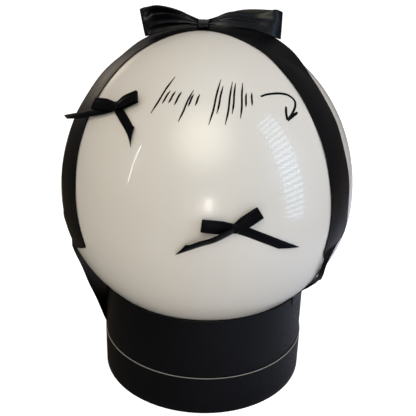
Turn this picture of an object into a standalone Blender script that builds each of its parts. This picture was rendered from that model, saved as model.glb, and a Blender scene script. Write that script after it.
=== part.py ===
"""A large party balloon resting in a round hat box, dressed with satin ribbon and bows.

Metres, +Z up. The origin is the centre of the lid's underside, and the front faces -Y.
Azimuths are in degrees from the front, positive towards +X.
"""
import math

import bmesh
import bpy
from mathutils import Matrix, Vector

# Hat box and the lid it stands in
GAP = 0.0003
BOX_RADIUS = 0.125
BOX_HEIGHT = 0.125
BOX_WALL = 0.0025
BOX_FLOOR = 0.002
LID_HEIGHT = 0.050
LID_WALL = 0.0013
LID_FLOOR = 0.0015
LID_CLEARANCE = 0.0004
ROUND_STEPS = 80

# Balloon, a fuller upper half over a rounder lower half
BALLOON_RADIUS = 0.1728
BALLOON_UPPER_HEIGHT = 0.1885
BALLOON_LOWER_HEIGHT = 0.158
BALLOON_STEPS = 48
BALLOON_RINGS = 12
NECK_RADIUS = 0.006
NECK_LENGTH = 0.016
NECK_KNOT_RADIUS = 0.009
NECK_LIP_RADIUS = 0.012

# Wide ribbon
RIBBON_WIDTH = 0.050
RIBBON_THICKNESS = 0.0005
RIBBON_COLUMNS = 5
RIBBON_ROW_SPACING = 0.011
RIBBON_TOP_X = -0.009
RIBBON_TOP_Y = 0.0095
RIBBON_TAPED_LENGTH = 0.008
RIM_TAPE_DROP = 0.0025
RIBBON_CURL = 0.014
RIBBON_LEFT_RISE = 0.002
RIBBON_RIGHT_RISE = 0.0055

# Wide bow
BOW_LEFT_REACH = 0.071
BOW_RIGHT_REACH = 0.088
BOW_THICKNESS = 0.0006
BOW_KNOT_WIDTH = 0.013
BOW_KNOT_DEPTH = 0.034
BOW_KNOT_HEIGHT = 0.006
BOW_KNOT_Y = 0.04 * RIBBON_WIDTH
BOW_LOOP_ROWS = 21
BOW_LOOP_COLUMNS = 3

# Narrow bows
LOOP_WIDTH = 0.012
TAIL_WIDTH = 0.0095
NARROW_THICKNESS = 0.0004
NARROW_KNOT = (0.0085, 0.0095, 0.0055)
LOOP_PUFF = 0.0045
LOOP_TIP_RADIUS = 0.0014
LOOP_LIFT = 0.0008
TAIL_ROWS = 12
UPPER_BOW_AZIMUTH = -44.0
UPPER_BOW_RISE = 0.642 * BALLOON_UPPER_HEIGHT
FRONT_BOW_AZIMUTH = 9.4
FRONT_BOW_RISE = 0.1363 * BALLOON_UPPER_HEIGHT

# Places that follow from the sizes above
BOX_BOTTOM = LID_FLOOR + GAP
BOX_TOP = BOX_BOTTOM + BOX_HEIGHT
BOX_INNER_RADIUS = BOX_RADIUS - BOX_WALL
LID_INNER_RADIUS = BOX_RADIUS + LID_CLEARANCE
SEAT_SHARE = (BOX_INNER_RADIUS - GAP) / BALLOON_RADIUS
BALLOON_MIDDLE = BOX_TOP + BALLOON_LOWER_HEIGHT * math.sqrt(1.0 - SEAT_SHARE ** 2)
BALLOON_CENTRE = Vector((0.0, 0.0, BALLOON_MIDDLE))
RIBBON_LIFT = GAP
OVER_RIBBON = RIBBON_LIFT + RIBBON_THICKNESS + GAP

# Middle of the ribbon on the balloon, from the top down: latitude, azimuth
LEFT_RUN = ((67.0, -90.0), (52.0, -80.5), (36.0, -72.5), (18.0, -66.0), (0.0, -60.5))
RIGHT_RUN = ((67.0, 70.0), (52.0, 63.5), (36.0, 60.5), (18.0, 58.7), (0.0, 57.6))

# Where the ribbon turns away below the balloon's middle, as front edge and back edge:
# azimuth and drop below the middle in lower half heights, then how far it stands off the
# balloon in ribbon widths
LEFT_TURN = (
    ((-49.6, 0.1709), (-71.2, 0.1519), 0.0),
    ((-49.6, 0.1962), (-73.0, 0.1962), 0.0),
    ((-54.5, 0.2405), (-76.0, 0.2342), 0.01),
    ((-62.0, 0.2975), (-82.0, 0.2722), 0.03),
    ((-70.0, 0.3608), (-89.0, 0.3291), 0.06),
)
RIGHT_TURN = (
    ((48.6, 0.1203), (65.6, 0.1329), 0.0),
    ((48.4, 0.1741), (61.5, 0.1741), 0.0),
    ((49.4, 0.212), (55.5, 0.2057), 0.008),
    ((50.5, 0.2468), (52.5, 0.2437), 0.016),
    ((50.5, 0.2816), (52.1, 0.2797), 0.02),
    ((50.8, 0.319), (52.9, 0.3165), 0.024),
    ((52.0, 0.3886), (55.6, 0.3829), 0.028),
    ((54.3, 0.4684), (61.2, 0.4652), 0.036),
    ((56.0, 0.538), (68.5, 0.538), 0.048),
)
LEFT_STRAP_AZIMUTHS = (-81.0, -103.0)
RIGHT_STRAP_AZIMUTHS = (57.0, 76.0)

# The curl at the rim on the right, as front edge and back edge:
# how far out from the box's wall and up from its rim, in curls
RIGHT_CURL = (((0.43, 0.75), (1.0, 0.58)), ((0.21, 0.40), (0.62, 0.17)), ((0.04, 0.14), (0.19, 0.03)))

# A wide loop's lower and upper edge from the knot, round the tip and back:
# share of the reach, then Y and height over the balloon in ribbon widths
LEFT_LOOP_LOWER = (
    (0.06, -0.1, 0.05), (0.3, -0.06, 0.04), (0.62, 0.0, 0.04), (0.86, 0.06, 0.06),
    (0.915, 0.22, 0.08), (0.84, 0.46, 0.1), (0.45, 0.52, 0.056), (0.06, 0.3, 0.05),
)
LEFT_LOOP_UPPER = (
    (0.06, -0.06, 0.13), (0.36, 0.12, 0.37), (0.72, 0.24, 0.62), (0.97, 0.34, 0.71),
    (1.01, 0.42, 0.72), (0.93, 0.54, 0.7), (0.48, 0.56, 0.41), (0.06, 0.3, 0.13),
)
RIGHT_LOOP_LOWER = (
    (0.06, -0.1, 0.05), (0.3, -0.12, 0.05), (0.65, -0.02, 0.08), (0.9, 0.03, 0.09),
    (0.985, 0.2, 0.1), (0.9, 0.5, 0.1), (0.45, 0.52, 0.056), (0.06, 0.3, 0.05),
)
RIGHT_LOOP_UPPER = (
    (0.06, -0.06, 0.13), (0.33, 0.12, 0.3), (0.67, 0.26, 0.38), (0.9, 0.3, 0.64),
    (1.0, 0.42, 0.68), (0.92, 0.56, 0.62), (0.48, 0.56, 0.33), (0.06, 0.3, 0.13),
)

# Narrow bows laid out on the balloon in tail widths, to the right and up from the knot.
# A loop: angle, length, how far its tip stands off.
# A tail: its places with their stand-off, then the slant of its cut end,
# positive where the left side of its run is the longer one.
FRONT_LOOPS = ((32.0, 3.053, 0.211), (173.0, 3.474, 0.211))
FRONT_TAILS = (
    ((
        (-0.105, 0.0, 0.316), (-2.211, -0.895, 0.737), (-3.579, -1.579, 0.211),
        (-4.884, -2.2, 0.0), (-6.579, -2.821, 0.105),
    ), 1.789),
    ((
        (0.105, 0.0, 0.211), (1.411, -0.558, 0.0), (3.747, -1.653, 0.0),
        (6.568, -3.032, 0.105), (8.042, -3.758, 0.211),
    ), 3.158),
)
UPPER_LOOPS = ((37.0, 2.895, 0.316), (188.0, 3.316, 0.421))
UPPER_TAILS = (
    ((
        (-0.105, 0.0, 0.211), (-1.726, -0.758, 0.211), (-3.779, -1.421, 0.316),
        (-5.242, -2.189, 0.842), (-6.737, -3.074, 1.895),
    ), -1.053),
    ((
        (0.105, 0.0, 0.211), (1.947, -1.105, 0.0), (3.053, -1.789, 0.0),
        (3.789, -2.368, 0.105), (4.474, -3.053, 0.211),
    ), -2.105),
)


def make_material(name, colour, roughness, metallic=0.0):
    """A Principled material with plain values."""
    material = bpy.data.materials.new(name)
    material.use_nodes = True
    shader = material.node_tree.nodes["Principled BSDF"]
    shader.inputs["Base Color"].default_value = (*colour, 1.0)
    shader.inputs["Roughness"].default_value = roughness
    shader.inputs["Metallic"].default_value = metallic
    return material


def add_object(name, mesh, collection, material):
    """An object for the mesh, shaded smooth up to a crease angle."""
    mesh.shade_smooth()
    mesh.set_sharp_from_angle(angle=math.radians(40.0))
    mesh.materials.append(material)
    thing = bpy.data.objects.new(name, mesh)
    collection.objects.link(thing)
    return thing


def turned(name, profile, steps, collection, material):
    """A turned solid: the profile in X and Z runs from the axis down the outer side."""
    mesh = bpy.data.meshes.new(name)
    vertices = [(x, 0.0, z) for x, z in profile]
    edges = [(i, i + 1) for i in range(len(profile) - 1)]
    mesh.from_pydata(vertices, edges, [])
    thing = add_object(name, mesh, collection, material)
    screw = thing.modifiers.new("turn", "SCREW")
    screw.axis = "Z"
    screw.steps = steps
    screw.render_steps = steps
    screw.use_merge_vertices = True
    screw.merge_threshold = 0.00005
    screw.use_smooth_shade = True
    return thing


def tray_profile(radius, height, wall, floor, base):
    """The outline of a round tray: up the inside, over the rim and down the outside."""
    inner = radius - wall
    return [
        (0.0, base + floor),
        (inner, base + floor),
        (inner, base + height),
        (radius, base + height),
        (radius, base),
        (0.0, base),
    ]


def balloon_height_share(z):
    """The balloon's half height on the side of its middle that z is on."""
    return BALLOON_UPPER_HEIGHT if z >= BALLOON_MIDDLE else BALLOON_LOWER_HEIGHT


def balloon_radius_at(z):
    """The balloon's radius at a height."""
    share = (z - BALLOON_MIDDLE) / balloon_height_share(z)
    return BALLOON_RADIUS * math.sqrt(max(0.0, 1.0 - share * share))


def balloon_top_at(x, y):
    """The height of the balloon's upper side over a point of the plan."""
    share = math.hypot(x, y) / BALLOON_RADIUS
    return BALLOON_MIDDLE + BALLOON_UPPER_HEIGHT * math.sqrt(1.0 - share * share)


def balloon_normal(point):
    """The outward normal of the balloon near a point."""
    height = balloon_height_share(point.z)
    return Vector((
        point.x / BALLOON_RADIUS ** 2,
        point.y / BALLOON_RADIUS ** 2,
        (point.z - BALLOON_MIDDLE) / height ** 2,
    )).normalized()


def on_balloon(point, lift):
    """The point moved along its radius to the balloon's skin, then out by the lift."""
    offset = point - BALLOON_CENTRE
    height = balloon_height_share(point.z)
    size = math.sqrt((offset.x ** 2 + offset.y ** 2) / BALLOON_RADIUS ** 2 + (offset.z / height) ** 2)
    skin = BALLOON_CENTRE + offset / size
    return skin + balloon_normal(skin) * lift


def clear_of_balloon(point, lift):
    """The point itself, or the skin point under it where it would lie too near the balloon."""
    skin = on_balloon(point, lift)
    outside = (point - BALLOON_CENTRE).length >= (skin - BALLOON_CENTRE).length
    return point if outside else skin


def clear_of_box(point):
    """The point itself, or moved out to the box's wall where it would lie in it."""
    reach = math.hypot(point.x, point.y)
    least = BOX_RADIUS + GAP
    if point.z > BOX_TOP or reach >= least:
        return point
    return Vector((point.x * least / reach, point.y * least / reach, point.z))


def at_azimuth(azimuth, radius, z):
    """The point at an azimuth and a radius from the axis."""
    turn = math.radians(azimuth)
    return Vector((radius * math.sin(turn), -radius * math.cos(turn), z))


def balloon_point(azimuth, rise, lift):
    """A point on the skin at an azimuth and a rise over the balloon's middle."""
    z = BALLOON_MIDDLE + rise
    return on_balloon(at_azimuth(azimuth, balloon_radius_at(z), z), lift)


def latitude_point(latitude, azimuth):
    """A point on the balloon's upper half at a latitude and an azimuth."""
    turn = math.radians(latitude)
    z = BALLOON_MIDDLE + BALLOON_UPPER_HEIGHT * math.sin(turn)
    return at_azimuth(azimuth, BALLOON_RADIUS * math.cos(turn), z)


def heading(points, index):
    """The direction of a smooth curve at one of its points, even where the points are uneven."""
    before = points[max(index - 1, 0)]
    here = points[index]
    after = points[min(index + 1, len(points) - 1)]
    return (after - before) / ((after - here).length + (here - before).length)


def spline(points, position):
    """The point at a position from 0 to len(points) - 1 on a smooth curve through the points."""
    index = min(int(position), len(points) - 2)
    t = position - index
    here = points[index]
    there = points[index + 1]
    length = (there - here).length
    leave = heading(points, index) * length
    arrive = heading(points, index + 1) * length
    return (
        here * (2.0 * t ** 3 - 3.0 * t ** 2 + 1.0)
        + leave * (t ** 3 - 2.0 * t ** 2 + t)
        + there * (3.0 * t ** 2 - 2.0 * t ** 3)
        + arrive * (t ** 3 - t ** 2)
    )


def smooth_step(low, high, value):
    """A smooth rise from 0 at low to 1 at high."""
    share = min(1.0, max(0.0, (value - low) / (high - low)))
    return share * share * (3.0 - 2.0 * share)


def ribbon_rise(x):
    """How far the ribbon's back edge is pulled off the balloon beside the bow's knot."""
    on_right = x > RIBBON_TOP_X
    reach = BOW_RIGHT_REACH if on_right else BOW_LEFT_REACH
    away = abs(x - RIBBON_TOP_X) / reach
    most = RIBBON_RIGHT_RISE if on_right else RIBBON_LEFT_RISE
    return most * smooth_step(0.1, 0.4, away) * (1.0 - smooth_step(0.9, 1.25, away))


def ribbon_top_at(x, y):
    """The height over the ribbon, or over a flat sheet that goes on from its edges."""
    share = 0.5 + (y - RIBBON_TOP_Y) / RIBBON_WIDTH
    return balloon_top_at(x, y) + OVER_RIBBON + ribbon_rise(x) * max(0.0, share)


def strip(name, rows, thickness, collection, material):
    """A ribbon: a sheet through rows of points, thickened away from the balloon."""
    columns = len(rows[0])
    vertices = [point for row in rows for point in row]
    faces = []
    for i in range(len(rows) - 1):
        for j in range(columns - 1):
            corner = i * columns + j
            faces.append((corner, corner + columns, corner + columns + 1, corner + 1))
    mesh = bpy.data.meshes.new(name)
    mesh.from_pydata(vertices, [], faces)
    thing = add_object(name, mesh, collection, material)
    solidify = thing.modifiers.new("thickness", "SOLIDIFY")
    solidify.thickness = thickness
    solidify.offset = 1.0
    solidify.use_even_offset = False
    return thing


def across(front, back, columns, lift):
    """A row of points from the front edge to the back edge, laid over what lies under it."""
    row = []
    for j in range(columns + 1):
        point = front.lerp(back, j / columns)
        row.append(clear_of_box(clear_of_balloon(point, lift)))
    return row


def even_positions(*curves):
    """Positions at each point of the curves, and between them a row spacing apart at most."""
    positions = [0.0]
    for i in range(len(curves[0]) - 1):
        length = max((points[i + 1] - points[i]).length for points in curves)
        count = math.ceil(length / RIBBON_ROW_SPACING)
        positions.extend(i + step / count for step in range(1, count + 1))
    return positions


def band_edges_on_top():
    """Edges of the ribbon over the balloon, from the left middle to the right middle."""
    top = Vector((RIBBON_TOP_X, RIBBON_TOP_Y, balloon_top_at(RIBBON_TOP_X, RIBBON_TOP_Y)))
    path = [latitude_point(*place) for place in reversed(LEFT_RUN)]
    path.append(top)
    path.extend(latitude_point(*place) for place in RIGHT_RUN)
    edges = []
    for position in even_positions(path):
        middle = on_balloon(spline(path, position), RIBBON_LIFT)
        ahead = spline(path, min(position + 0.05, len(path) - 1)) - spline(path, max(position - 0.05, 0))
        side = balloon_normal(middle).cross(ahead).normalized() * (RIBBON_WIDTH / 2.0)
        back_lift = RIBBON_LIFT + ribbon_rise(middle.x)
        edges.append((on_balloon(middle - side, RIBBON_LIFT), on_balloon(middle + side, back_lift)))
    return edges


def band_edges_below(start, turn, strap_points):
    """Edges of the ribbon below the start's front and back: the turn, then the free strap."""
    fronts = [start[0]]
    backs = [start[1]]
    for front, back, lift in turn:
        for points, (azimuth, drop) in ((fronts, front), (backs, back)):
            rise = -drop * BALLOON_LOWER_HEIGHT
            points.append(balloon_point(azimuth, rise, RIBBON_LIFT + lift * RIBBON_WIDTH))
    for front, back in strap_points:
        fronts.append(front)
        backs.append(back)
    positions = even_positions(fronts, backs)[1:]
    return [(spline(fronts, position), spline(backs, position)) for position in positions]


def left_strap():
    """The left end: straight from the balloon to the box's wall just over the lid."""
    wall = BOX_RADIUS + GAP
    end = LID_HEIGHT + GAP
    heights = (end + RIBBON_TAPED_LENGTH, end)
    return [tuple(at_azimuth(azimuth, wall, z) for azimuth in LEFT_STRAP_AZIMUTHS) for z in heights]


def right_strap():
    """The right end: a slack curl from the balloon in to the box's wall under the rim."""
    wall = BOX_RADIUS + GAP
    points = []
    for shares in RIGHT_CURL:
        pair = zip(RIGHT_STRAP_AZIMUTHS, shares)
        points.append(tuple(
            at_azimuth(azimuth, wall + out * RIBBON_CURL, BOX_TOP + up * RIBBON_CURL)
            for azimuth, (out, up) in pair
        ))
    end = BOX_TOP - RIM_TAPE_DROP
    for z in (end, end - RIBBON_TAPED_LENGTH):
        points.append(tuple(at_azimuth(azimuth, wall, z) for azimuth in RIGHT_STRAP_AZIMUTHS))
    return points


def make_ribbon_band(collection, material):
    """The wide ribbon, from the lid on the left over the top to the rim on the right."""
    top = band_edges_on_top()
    left = band_edges_below(top[0], LEFT_TURN, left_strap())
    right = band_edges_below(top[-1], RIGHT_TURN, right_strap())
    edges = left[::-1] + top + right
    rows = [across(front, back, RIBBON_COLUMNS, RIBBON_LIFT) for front, back in edges]
    return strip("ribbon_band", rows, RIBBON_THICKNESS, collection, material)


def wide_loop(name, side, reach, lower_edge, upper_edge, guides, material):
    """One loop of the wide bow, open at the top and bottom, its tip away from the knot."""
    edges = []
    for stations in (lower_edge, upper_edge):
        points = []
        for share, y_share, height in stations:
            x = RIBBON_TOP_X + side * share * reach
            y = y_share * RIBBON_WIDTH
            points.append(Vector((x, y, ribbon_top_at(x, y) + height * RIBBON_WIDTH)))
        last = len(points) - 1
        edges.append([spline(points, last * i / BOW_LOOP_ROWS) for i in range(BOW_LOOP_ROWS + 1)])
    rows = []
    for lower, upper in zip(*edges):
        row = [lower.lerp(upper, j / BOW_LOOP_COLUMNS) for j in range(BOW_LOOP_COLUMNS + 1)]
        rows.append(row if side > 0 else row[::-1])
    return strip(name, rows, BOW_THICKNESS, guides, material)


def knot_solid(name, size, matrix, collection, material):
    """A rounded block for a bow's knot."""
    builder = bmesh.new()
    bmesh.ops.create_cube(builder, size=1.0)
    bmesh.ops.scale(builder, vec=size, verts=builder.verts)
    bmesh.ops.bevel(
        builder, geom=builder.edges[:], offset=min(size) * 0.4, segments=3, profile=0.5, affect="EDGES"
    )
    bmesh.ops.transform(builder, matrix=matrix, verts=builder.verts)
    mesh = bpy.data.meshes.new(name)
    builder.to_mesh(mesh)
    builder.free()
    return add_object(name, mesh, collection, material)


def join_to(thing, guide):
    """Joins a guide's solid to the thing by a Boolean union."""
    guide.hide_render = True
    guide.display_type = "WIRE"
    union = thing.modifiers.new("join " + guide.name, "BOOLEAN")
    union.operation = "UNION"
    union.solver = "EXACT"
    union.object = guide


def make_top_bow(collection, guides, material):
    """The wide bow over the ribbon at the top of the balloon."""
    floor = balloon_top_at(RIBBON_TOP_X, 0.0) + OVER_RIBBON
    place = Matrix.Translation((RIBBON_TOP_X, BOW_KNOT_Y, floor + BOW_KNOT_HEIGHT / 2.0))
    size = (BOW_KNOT_WIDTH, BOW_KNOT_DEPTH, BOW_KNOT_HEIGHT)
    bow = knot_solid("top_bow", size, place, collection, material)
    left = ("top_bow_left_loop", -1, BOW_LEFT_REACH, LEFT_LOOP_LOWER, LEFT_LOOP_UPPER)
    right = ("top_bow_right_loop", 1, BOW_RIGHT_REACH, RIGHT_LOOP_LOWER, RIGHT_LOOP_UPPER)
    for loop in (left, right):
        join_to(bow, wide_loop(*loop, guides, material))
    return bow


def bow_frame(azimuth, rise):
    """A narrow bow's own axes: its place on the skin, right, up and out."""
    place = balloon_point(azimuth, rise, 0.0)
    out = balloon_normal(place)
    turn = math.radians(azimuth)
    right = Vector((math.cos(turn), math.sin(turn), 0.0))
    return place, right, out.cross(right), out


def laid_point(frame, u, v, lift):
    """The point over the skin that lies right by u and up by v of the knot."""
    place, right, up, _ = frame
    return on_balloon(place + right * u + up * v, lift)


def narrow_loop(name, frame, angle, length, tip_lift, base_lift, guides, material):
    """A flat loop: out along the skin, round the tip and back over itself."""
    turn = math.radians(angle)
    length *= TAIL_WIDTH
    tip_lift *= TAIL_WIDTH
    half = LOOP_WIDTH / 2.0
    under = ((0.0, 0.18), (0.35, 0.0), (0.7, 0.0))
    over = ((0.7, 1.0), (0.35, 1.0), (0.0, 0.71))
    stations = [(share * length, puffs * LOOP_PUFF + base_lift + tip_lift * share) for share, puffs in under]
    middle = LOOP_PUFF / 2.0 + base_lift + tip_lift
    for step in range(5):
        bend = math.radians(-90.0 + 45.0 * step)
        reach = length - LOOP_TIP_RADIUS + LOOP_TIP_RADIUS * math.cos(bend)
        stations.append((reach, middle + LOOP_PUFF / 2.0 * math.sin(bend)))
    stations.extend(
        (share * length, puffs * LOOP_PUFF + base_lift + tip_lift * share) for share, puffs in over
    )
    rows = []
    for reach, lift in stations:
        row = []
        for side in (-half, 0.0, half):
            u = reach * math.cos(turn) - side * math.sin(turn)
            v = reach * math.sin(turn) + side * math.cos(turn)
            row.append(laid_point(frame, u, v, lift))
        rows.append(row)
    return strip(name, rows, NARROW_THICKNESS, guides, material)


def narrow_tail(name, frame, path, slant, base_lift, guides, material):
    """A tail along the skin, its end cut on a slant."""
    points = [Vector(place) * TAIL_WIDTH for place in path]
    slant *= TAIL_WIDTH
    half = TAIL_WIDTH / 2.0
    longer = math.copysign(1.0, slant)
    rows = []
    for i in range(TAIL_ROWS + 1):
        position = (len(points) - 1) * i / TAIL_ROWS
        middle = spline(points, position)
        ahead = spline(points, min(position + 0.1, len(points) - 1))
        ahead -= spline(points, max(position - 0.1, 0.0))
        ahead.z = 0.0
        ahead.normalize()
        sideways = Vector((-ahead.y, ahead.x, 0.0))
        row = []
        for side in (-1.0, 0.0, 1.0):
            cut = abs(slant) * (1.0 - side * longer) / 2.0 * (i / TAIL_ROWS) ** 3
            spot = middle + sideways * (side * half) - ahead * cut
            row.append(laid_point(frame, spot.x, spot.y, base_lift + middle.z))
        rows.append(row)
    return strip(name, rows, NARROW_THICKNESS, guides, material)


def make_narrow_bow(name, frame, loops, tails, base_lift, collection, guides, material):
    """A narrow bow with its knot, loops and tails, lying on the balloon."""
    place, right, up, out = frame
    axes = Matrix((right, up, out)).transposed().to_4x4()
    centre = place + out * (base_lift + NARROW_KNOT[2] / 2.0)
    bow = knot_solid(name, NARROW_KNOT, Matrix.Translation(centre) @ axes, collection, material)
    for i, loop in enumerate(loops):
        join_to(bow, narrow_loop(f"{name}_loop_{i}", frame, *loop, base_lift + LOOP_LIFT, guides, material))
    for i, tail in enumerate(tails):
        join_to(bow, narrow_tail(f"{name}_tail_{i}", frame, *tail, base_lift, guides, material))
    return bow


def balloon_profile():
    """The balloon's outline from its top down to the lip of its tied neck."""
    profile = []
    for i in range(BALLOON_RINGS):
        turn = math.pi / 2.0 * (1.0 - i / BALLOON_RINGS)
        z = BALLOON_MIDDLE + BALLOON_UPPER_HEIGHT * math.sin(turn)
        profile.append((BALLOON_RADIUS * math.cos(turn), z))
    profile[0] = (0.0, BALLOON_MIDDLE + BALLOON_UPPER_HEIGHT)
    last_turn = math.acos(2.5 * NECK_RADIUS / BALLOON_RADIUS)
    for i in range(BALLOON_RINGS + 1):
        turn = last_turn * i / BALLOON_RINGS
        z = BALLOON_MIDDLE - BALLOON_LOWER_HEIGHT * math.sin(turn)
        profile.append((BALLOON_RADIUS * math.cos(turn), z))
    bottom = profile[-1][1]
    profile.extend([
        (NECK_RADIUS, bottom - NECK_LENGTH * 0.25),
        (NECK_RADIUS * 0.8, bottom - NECK_LENGTH * 0.45),
        (NECK_KNOT_RADIUS, bottom - NECK_LENGTH * 0.70),
        (NECK_RADIUS * 0.8, bottom - NECK_LENGTH * 0.95),
        (NECK_LIP_RADIUS, bottom - NECK_LENGTH * 1.5),
        (NECK_LIP_RADIUS * 0.9, bottom - NECK_LENGTH * 1.6),
        (0.0, bottom - NECK_LENGTH * 1.45),
    ])
    return profile


def main():
    """Clears the scene and models each piece in its own object."""
    for thing in list(bpy.data.objects):
        bpy.data.objects.remove(thing, do_unlink=True)
    parts = bpy.data.collections.new("balloon in a hat box")
    guides = bpy.data.collections.new("cutters")
    for collection in (parts, guides):
        bpy.context.scene.collection.children.link(collection)

    box_card = make_material("black box card", (0.012, 0.012, 0.014), 0.5)
    lid_card = make_material("black lid card", (0.014, 0.014, 0.016), 0.5)
    pearl = make_material("pearl white latex", (0.74, 0.71, 0.66), 0.12)
    satin = make_material("black satin", (0.008, 0.008, 0.010), 0.35)
    bow_satin = make_material("black bow satin", (0.009, 0.009, 0.012), 0.35)
    narrow_satin = make_material("narrow black satin", (0.006, 0.006, 0.008), 0.4)

    box = tray_profile(BOX_RADIUS, BOX_HEIGHT, BOX_WALL, BOX_FLOOR, BOX_BOTTOM)
    turned("hat_box", box, ROUND_STEPS, parts, box_card)
    lid = tray_profile(LID_INNER_RADIUS + LID_WALL, LID_HEIGHT, LID_WALL, LID_FLOOR, 0.0)
    turned("hat_box_lid", lid, ROUND_STEPS, parts, lid_card)
    turned("balloon", balloon_profile(), BALLOON_STEPS, parts, pearl)
    make_ribbon_band(parts, satin)
    make_top_bow(parts, guides, bow_satin)
    upper = ("small_bow_upper", bow_frame(UPPER_BOW_AZIMUTH, UPPER_BOW_RISE), UPPER_LOOPS, UPPER_TAILS)
    make_narrow_bow(*upper, OVER_RIBBON, parts, guides, narrow_satin)
    front = ("small_bow_front", bow_frame(FRONT_BOW_AZIMUTH, FRONT_BOW_RISE), FRONT_LOOPS, FRONT_TAILS)
    make_narrow_bow(*front, GAP, parts, guides, narrow_satin)


main()
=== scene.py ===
"""A pearl balloon resting in a round black hat box, tied with satin ribbon, in a pale studio.

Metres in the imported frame: +Z up, the front towards -Y, the origin under the middle of the lid.
Azimuths are in degrees from the front, positive towards +X.
"""

import logging
import math
from dataclasses import dataclass
from enum import Enum

import bmesh
import bpy
from mathutils import Matrix, Vector


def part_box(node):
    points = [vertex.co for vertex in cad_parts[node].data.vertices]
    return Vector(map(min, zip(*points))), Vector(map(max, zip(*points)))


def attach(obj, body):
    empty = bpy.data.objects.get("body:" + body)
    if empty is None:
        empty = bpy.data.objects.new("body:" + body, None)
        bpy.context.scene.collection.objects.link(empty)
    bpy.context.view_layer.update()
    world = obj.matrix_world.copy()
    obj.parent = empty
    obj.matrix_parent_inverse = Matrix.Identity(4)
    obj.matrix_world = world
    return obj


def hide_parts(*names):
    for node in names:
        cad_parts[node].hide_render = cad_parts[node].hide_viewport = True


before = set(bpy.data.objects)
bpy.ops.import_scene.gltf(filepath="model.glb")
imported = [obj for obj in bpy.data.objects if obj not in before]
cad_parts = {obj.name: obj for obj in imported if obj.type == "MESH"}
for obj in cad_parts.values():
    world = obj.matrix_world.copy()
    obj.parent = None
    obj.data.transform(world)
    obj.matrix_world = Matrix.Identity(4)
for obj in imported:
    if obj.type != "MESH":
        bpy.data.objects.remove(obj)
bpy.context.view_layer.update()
LOG = logging.getLogger("hat_box_balloon")
BODY = "root"
TURN = 2.0 * math.pi
UV_NAME = "cloth"
EDGE_NAME = "edge"
SOLID_RIBBON_THICKNESS = 0.0005
SAME_POINT = 0.000001
Socket = bpy.types.NodeSocket
NodeTree = bpy.types.NodeTree
Material = bpy.types.Material
Piece = bpy.types.Object
Rows = list[list[Vector]]
Values = list[list[float]]
Colour = tuple[float, float, float]
Span = tuple[float, float]


class Side(Enum):
    """A side of the balloon or of a bow, as its sign along X."""

    LEFT = -1
    RIGHT = 1


class Hold(Enum):
    """How a length of ribbon is held, in the frame's own words."""

    STRETCHED = "stretched"
    FOLDED = "folded"


# Helpers


def smooth_step(low: float, high: float, value: float) -> float:
    """A smooth rise from 0 at low to 1 at high.

    Args:
        low: Where the rise starts.
        high: Where it ends.
        value: The value looked up.

    Returns:
        A number from 0 to 1.
    """
    share = min(1.0, max(0.0, (value - low) / (high - low)))
    return share * share * (3.0 - 2.0 * share)


def at_azimuth(azimuth: float, radius: float, z: float) -> Vector:
    """The point at an azimuth in degrees, a radius from the axis and a height."""
    turn = math.radians(azimuth)
    return Vector((radius * math.sin(turn), -radius * math.cos(turn), z))


def swell(rise: Span, fall: Span, value: float) -> float:
    """A smooth rise from 0 to 1 followed by a smooth fall back to 0.

    Args:
        rise: Where the rise starts and ends.
        fall: Where the fall starts and ends.
        value: The value looked up.

    Returns:
        A number from 0 to 1.
    """
    return smooth_step(*rise, value) * (1.0 - smooth_step(*fall, value))


def crest(value: float, centre: float, width: float) -> float:
    """A soft round crest of height 1 at a centre, as wide as its width to each side."""
    return math.exp(-(((value - centre) / width) ** 2))


class SmoothLine:
    """A smooth curve through points that may be unevenly spaced."""

    def __init__(self, points: list[Vector]) -> None:
        """Keeps the points that the curve passes through."""
        self.points = points

    @property
    def last(self) -> int:
        """The position of the curve's end."""
        return len(self.points) - 1

    def heading(self, index: int) -> Vector:
        """The curve's direction at one of its points.

        Args:
            index: Which point.

        Returns:
            A direction, scaled to the spacing of the points.
        """
        before = self.points[max(index - 1, 0)]
        here = self.points[index]
        after = self.points[min(index + 1, self.last)]
        return (after - before) / ((after - here).length + (here - before).length)

    def at(self, position: float) -> Vector:
        """The point at a position, which counts points from 0.

        Args:
            position: A number from 0 to last.

        Returns:
            The point on the curve.
        """
        position = min(max(position, 0.0), float(self.last))
        index = min(int(position), self.last - 1)
        t = position - index
        here, there = self.points[index], self.points[index + 1]
        length = (there - here).length
        return (
            here * (2.0 * t**3 - 3.0 * t**2 + 1.0)
            + self.heading(index) * length * (t**3 - 2.0 * t**2 + t)
            + there * (3.0 * t**2 - 2.0 * t**3)
            + self.heading(index + 1) * length * (t**3 - t**2)
        )

    def share(self, share: float) -> Vector:
        """The point at a share of the curve from 0 to 1."""
        return self.at(share * self.last)


def positions_along(lines: list[SmoothLine], spacing: float) -> list[float]:
    """Positions at each point of the lines and a spacing apart at most between them.

    Args:
        lines: Curves with the same number of points.
        spacing: The longest step in metres.

    Returns:
        Positions in rising order.
    """
    positions = [0.0]
    for i in range(lines[0].last):
        length = max((line.points[i + 1] - line.points[i]).length for line in lines)
        count = max(1, math.ceil(length / spacing))
        positions.extend(i + step / count for step in range(1, count + 1))
    return positions


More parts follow.
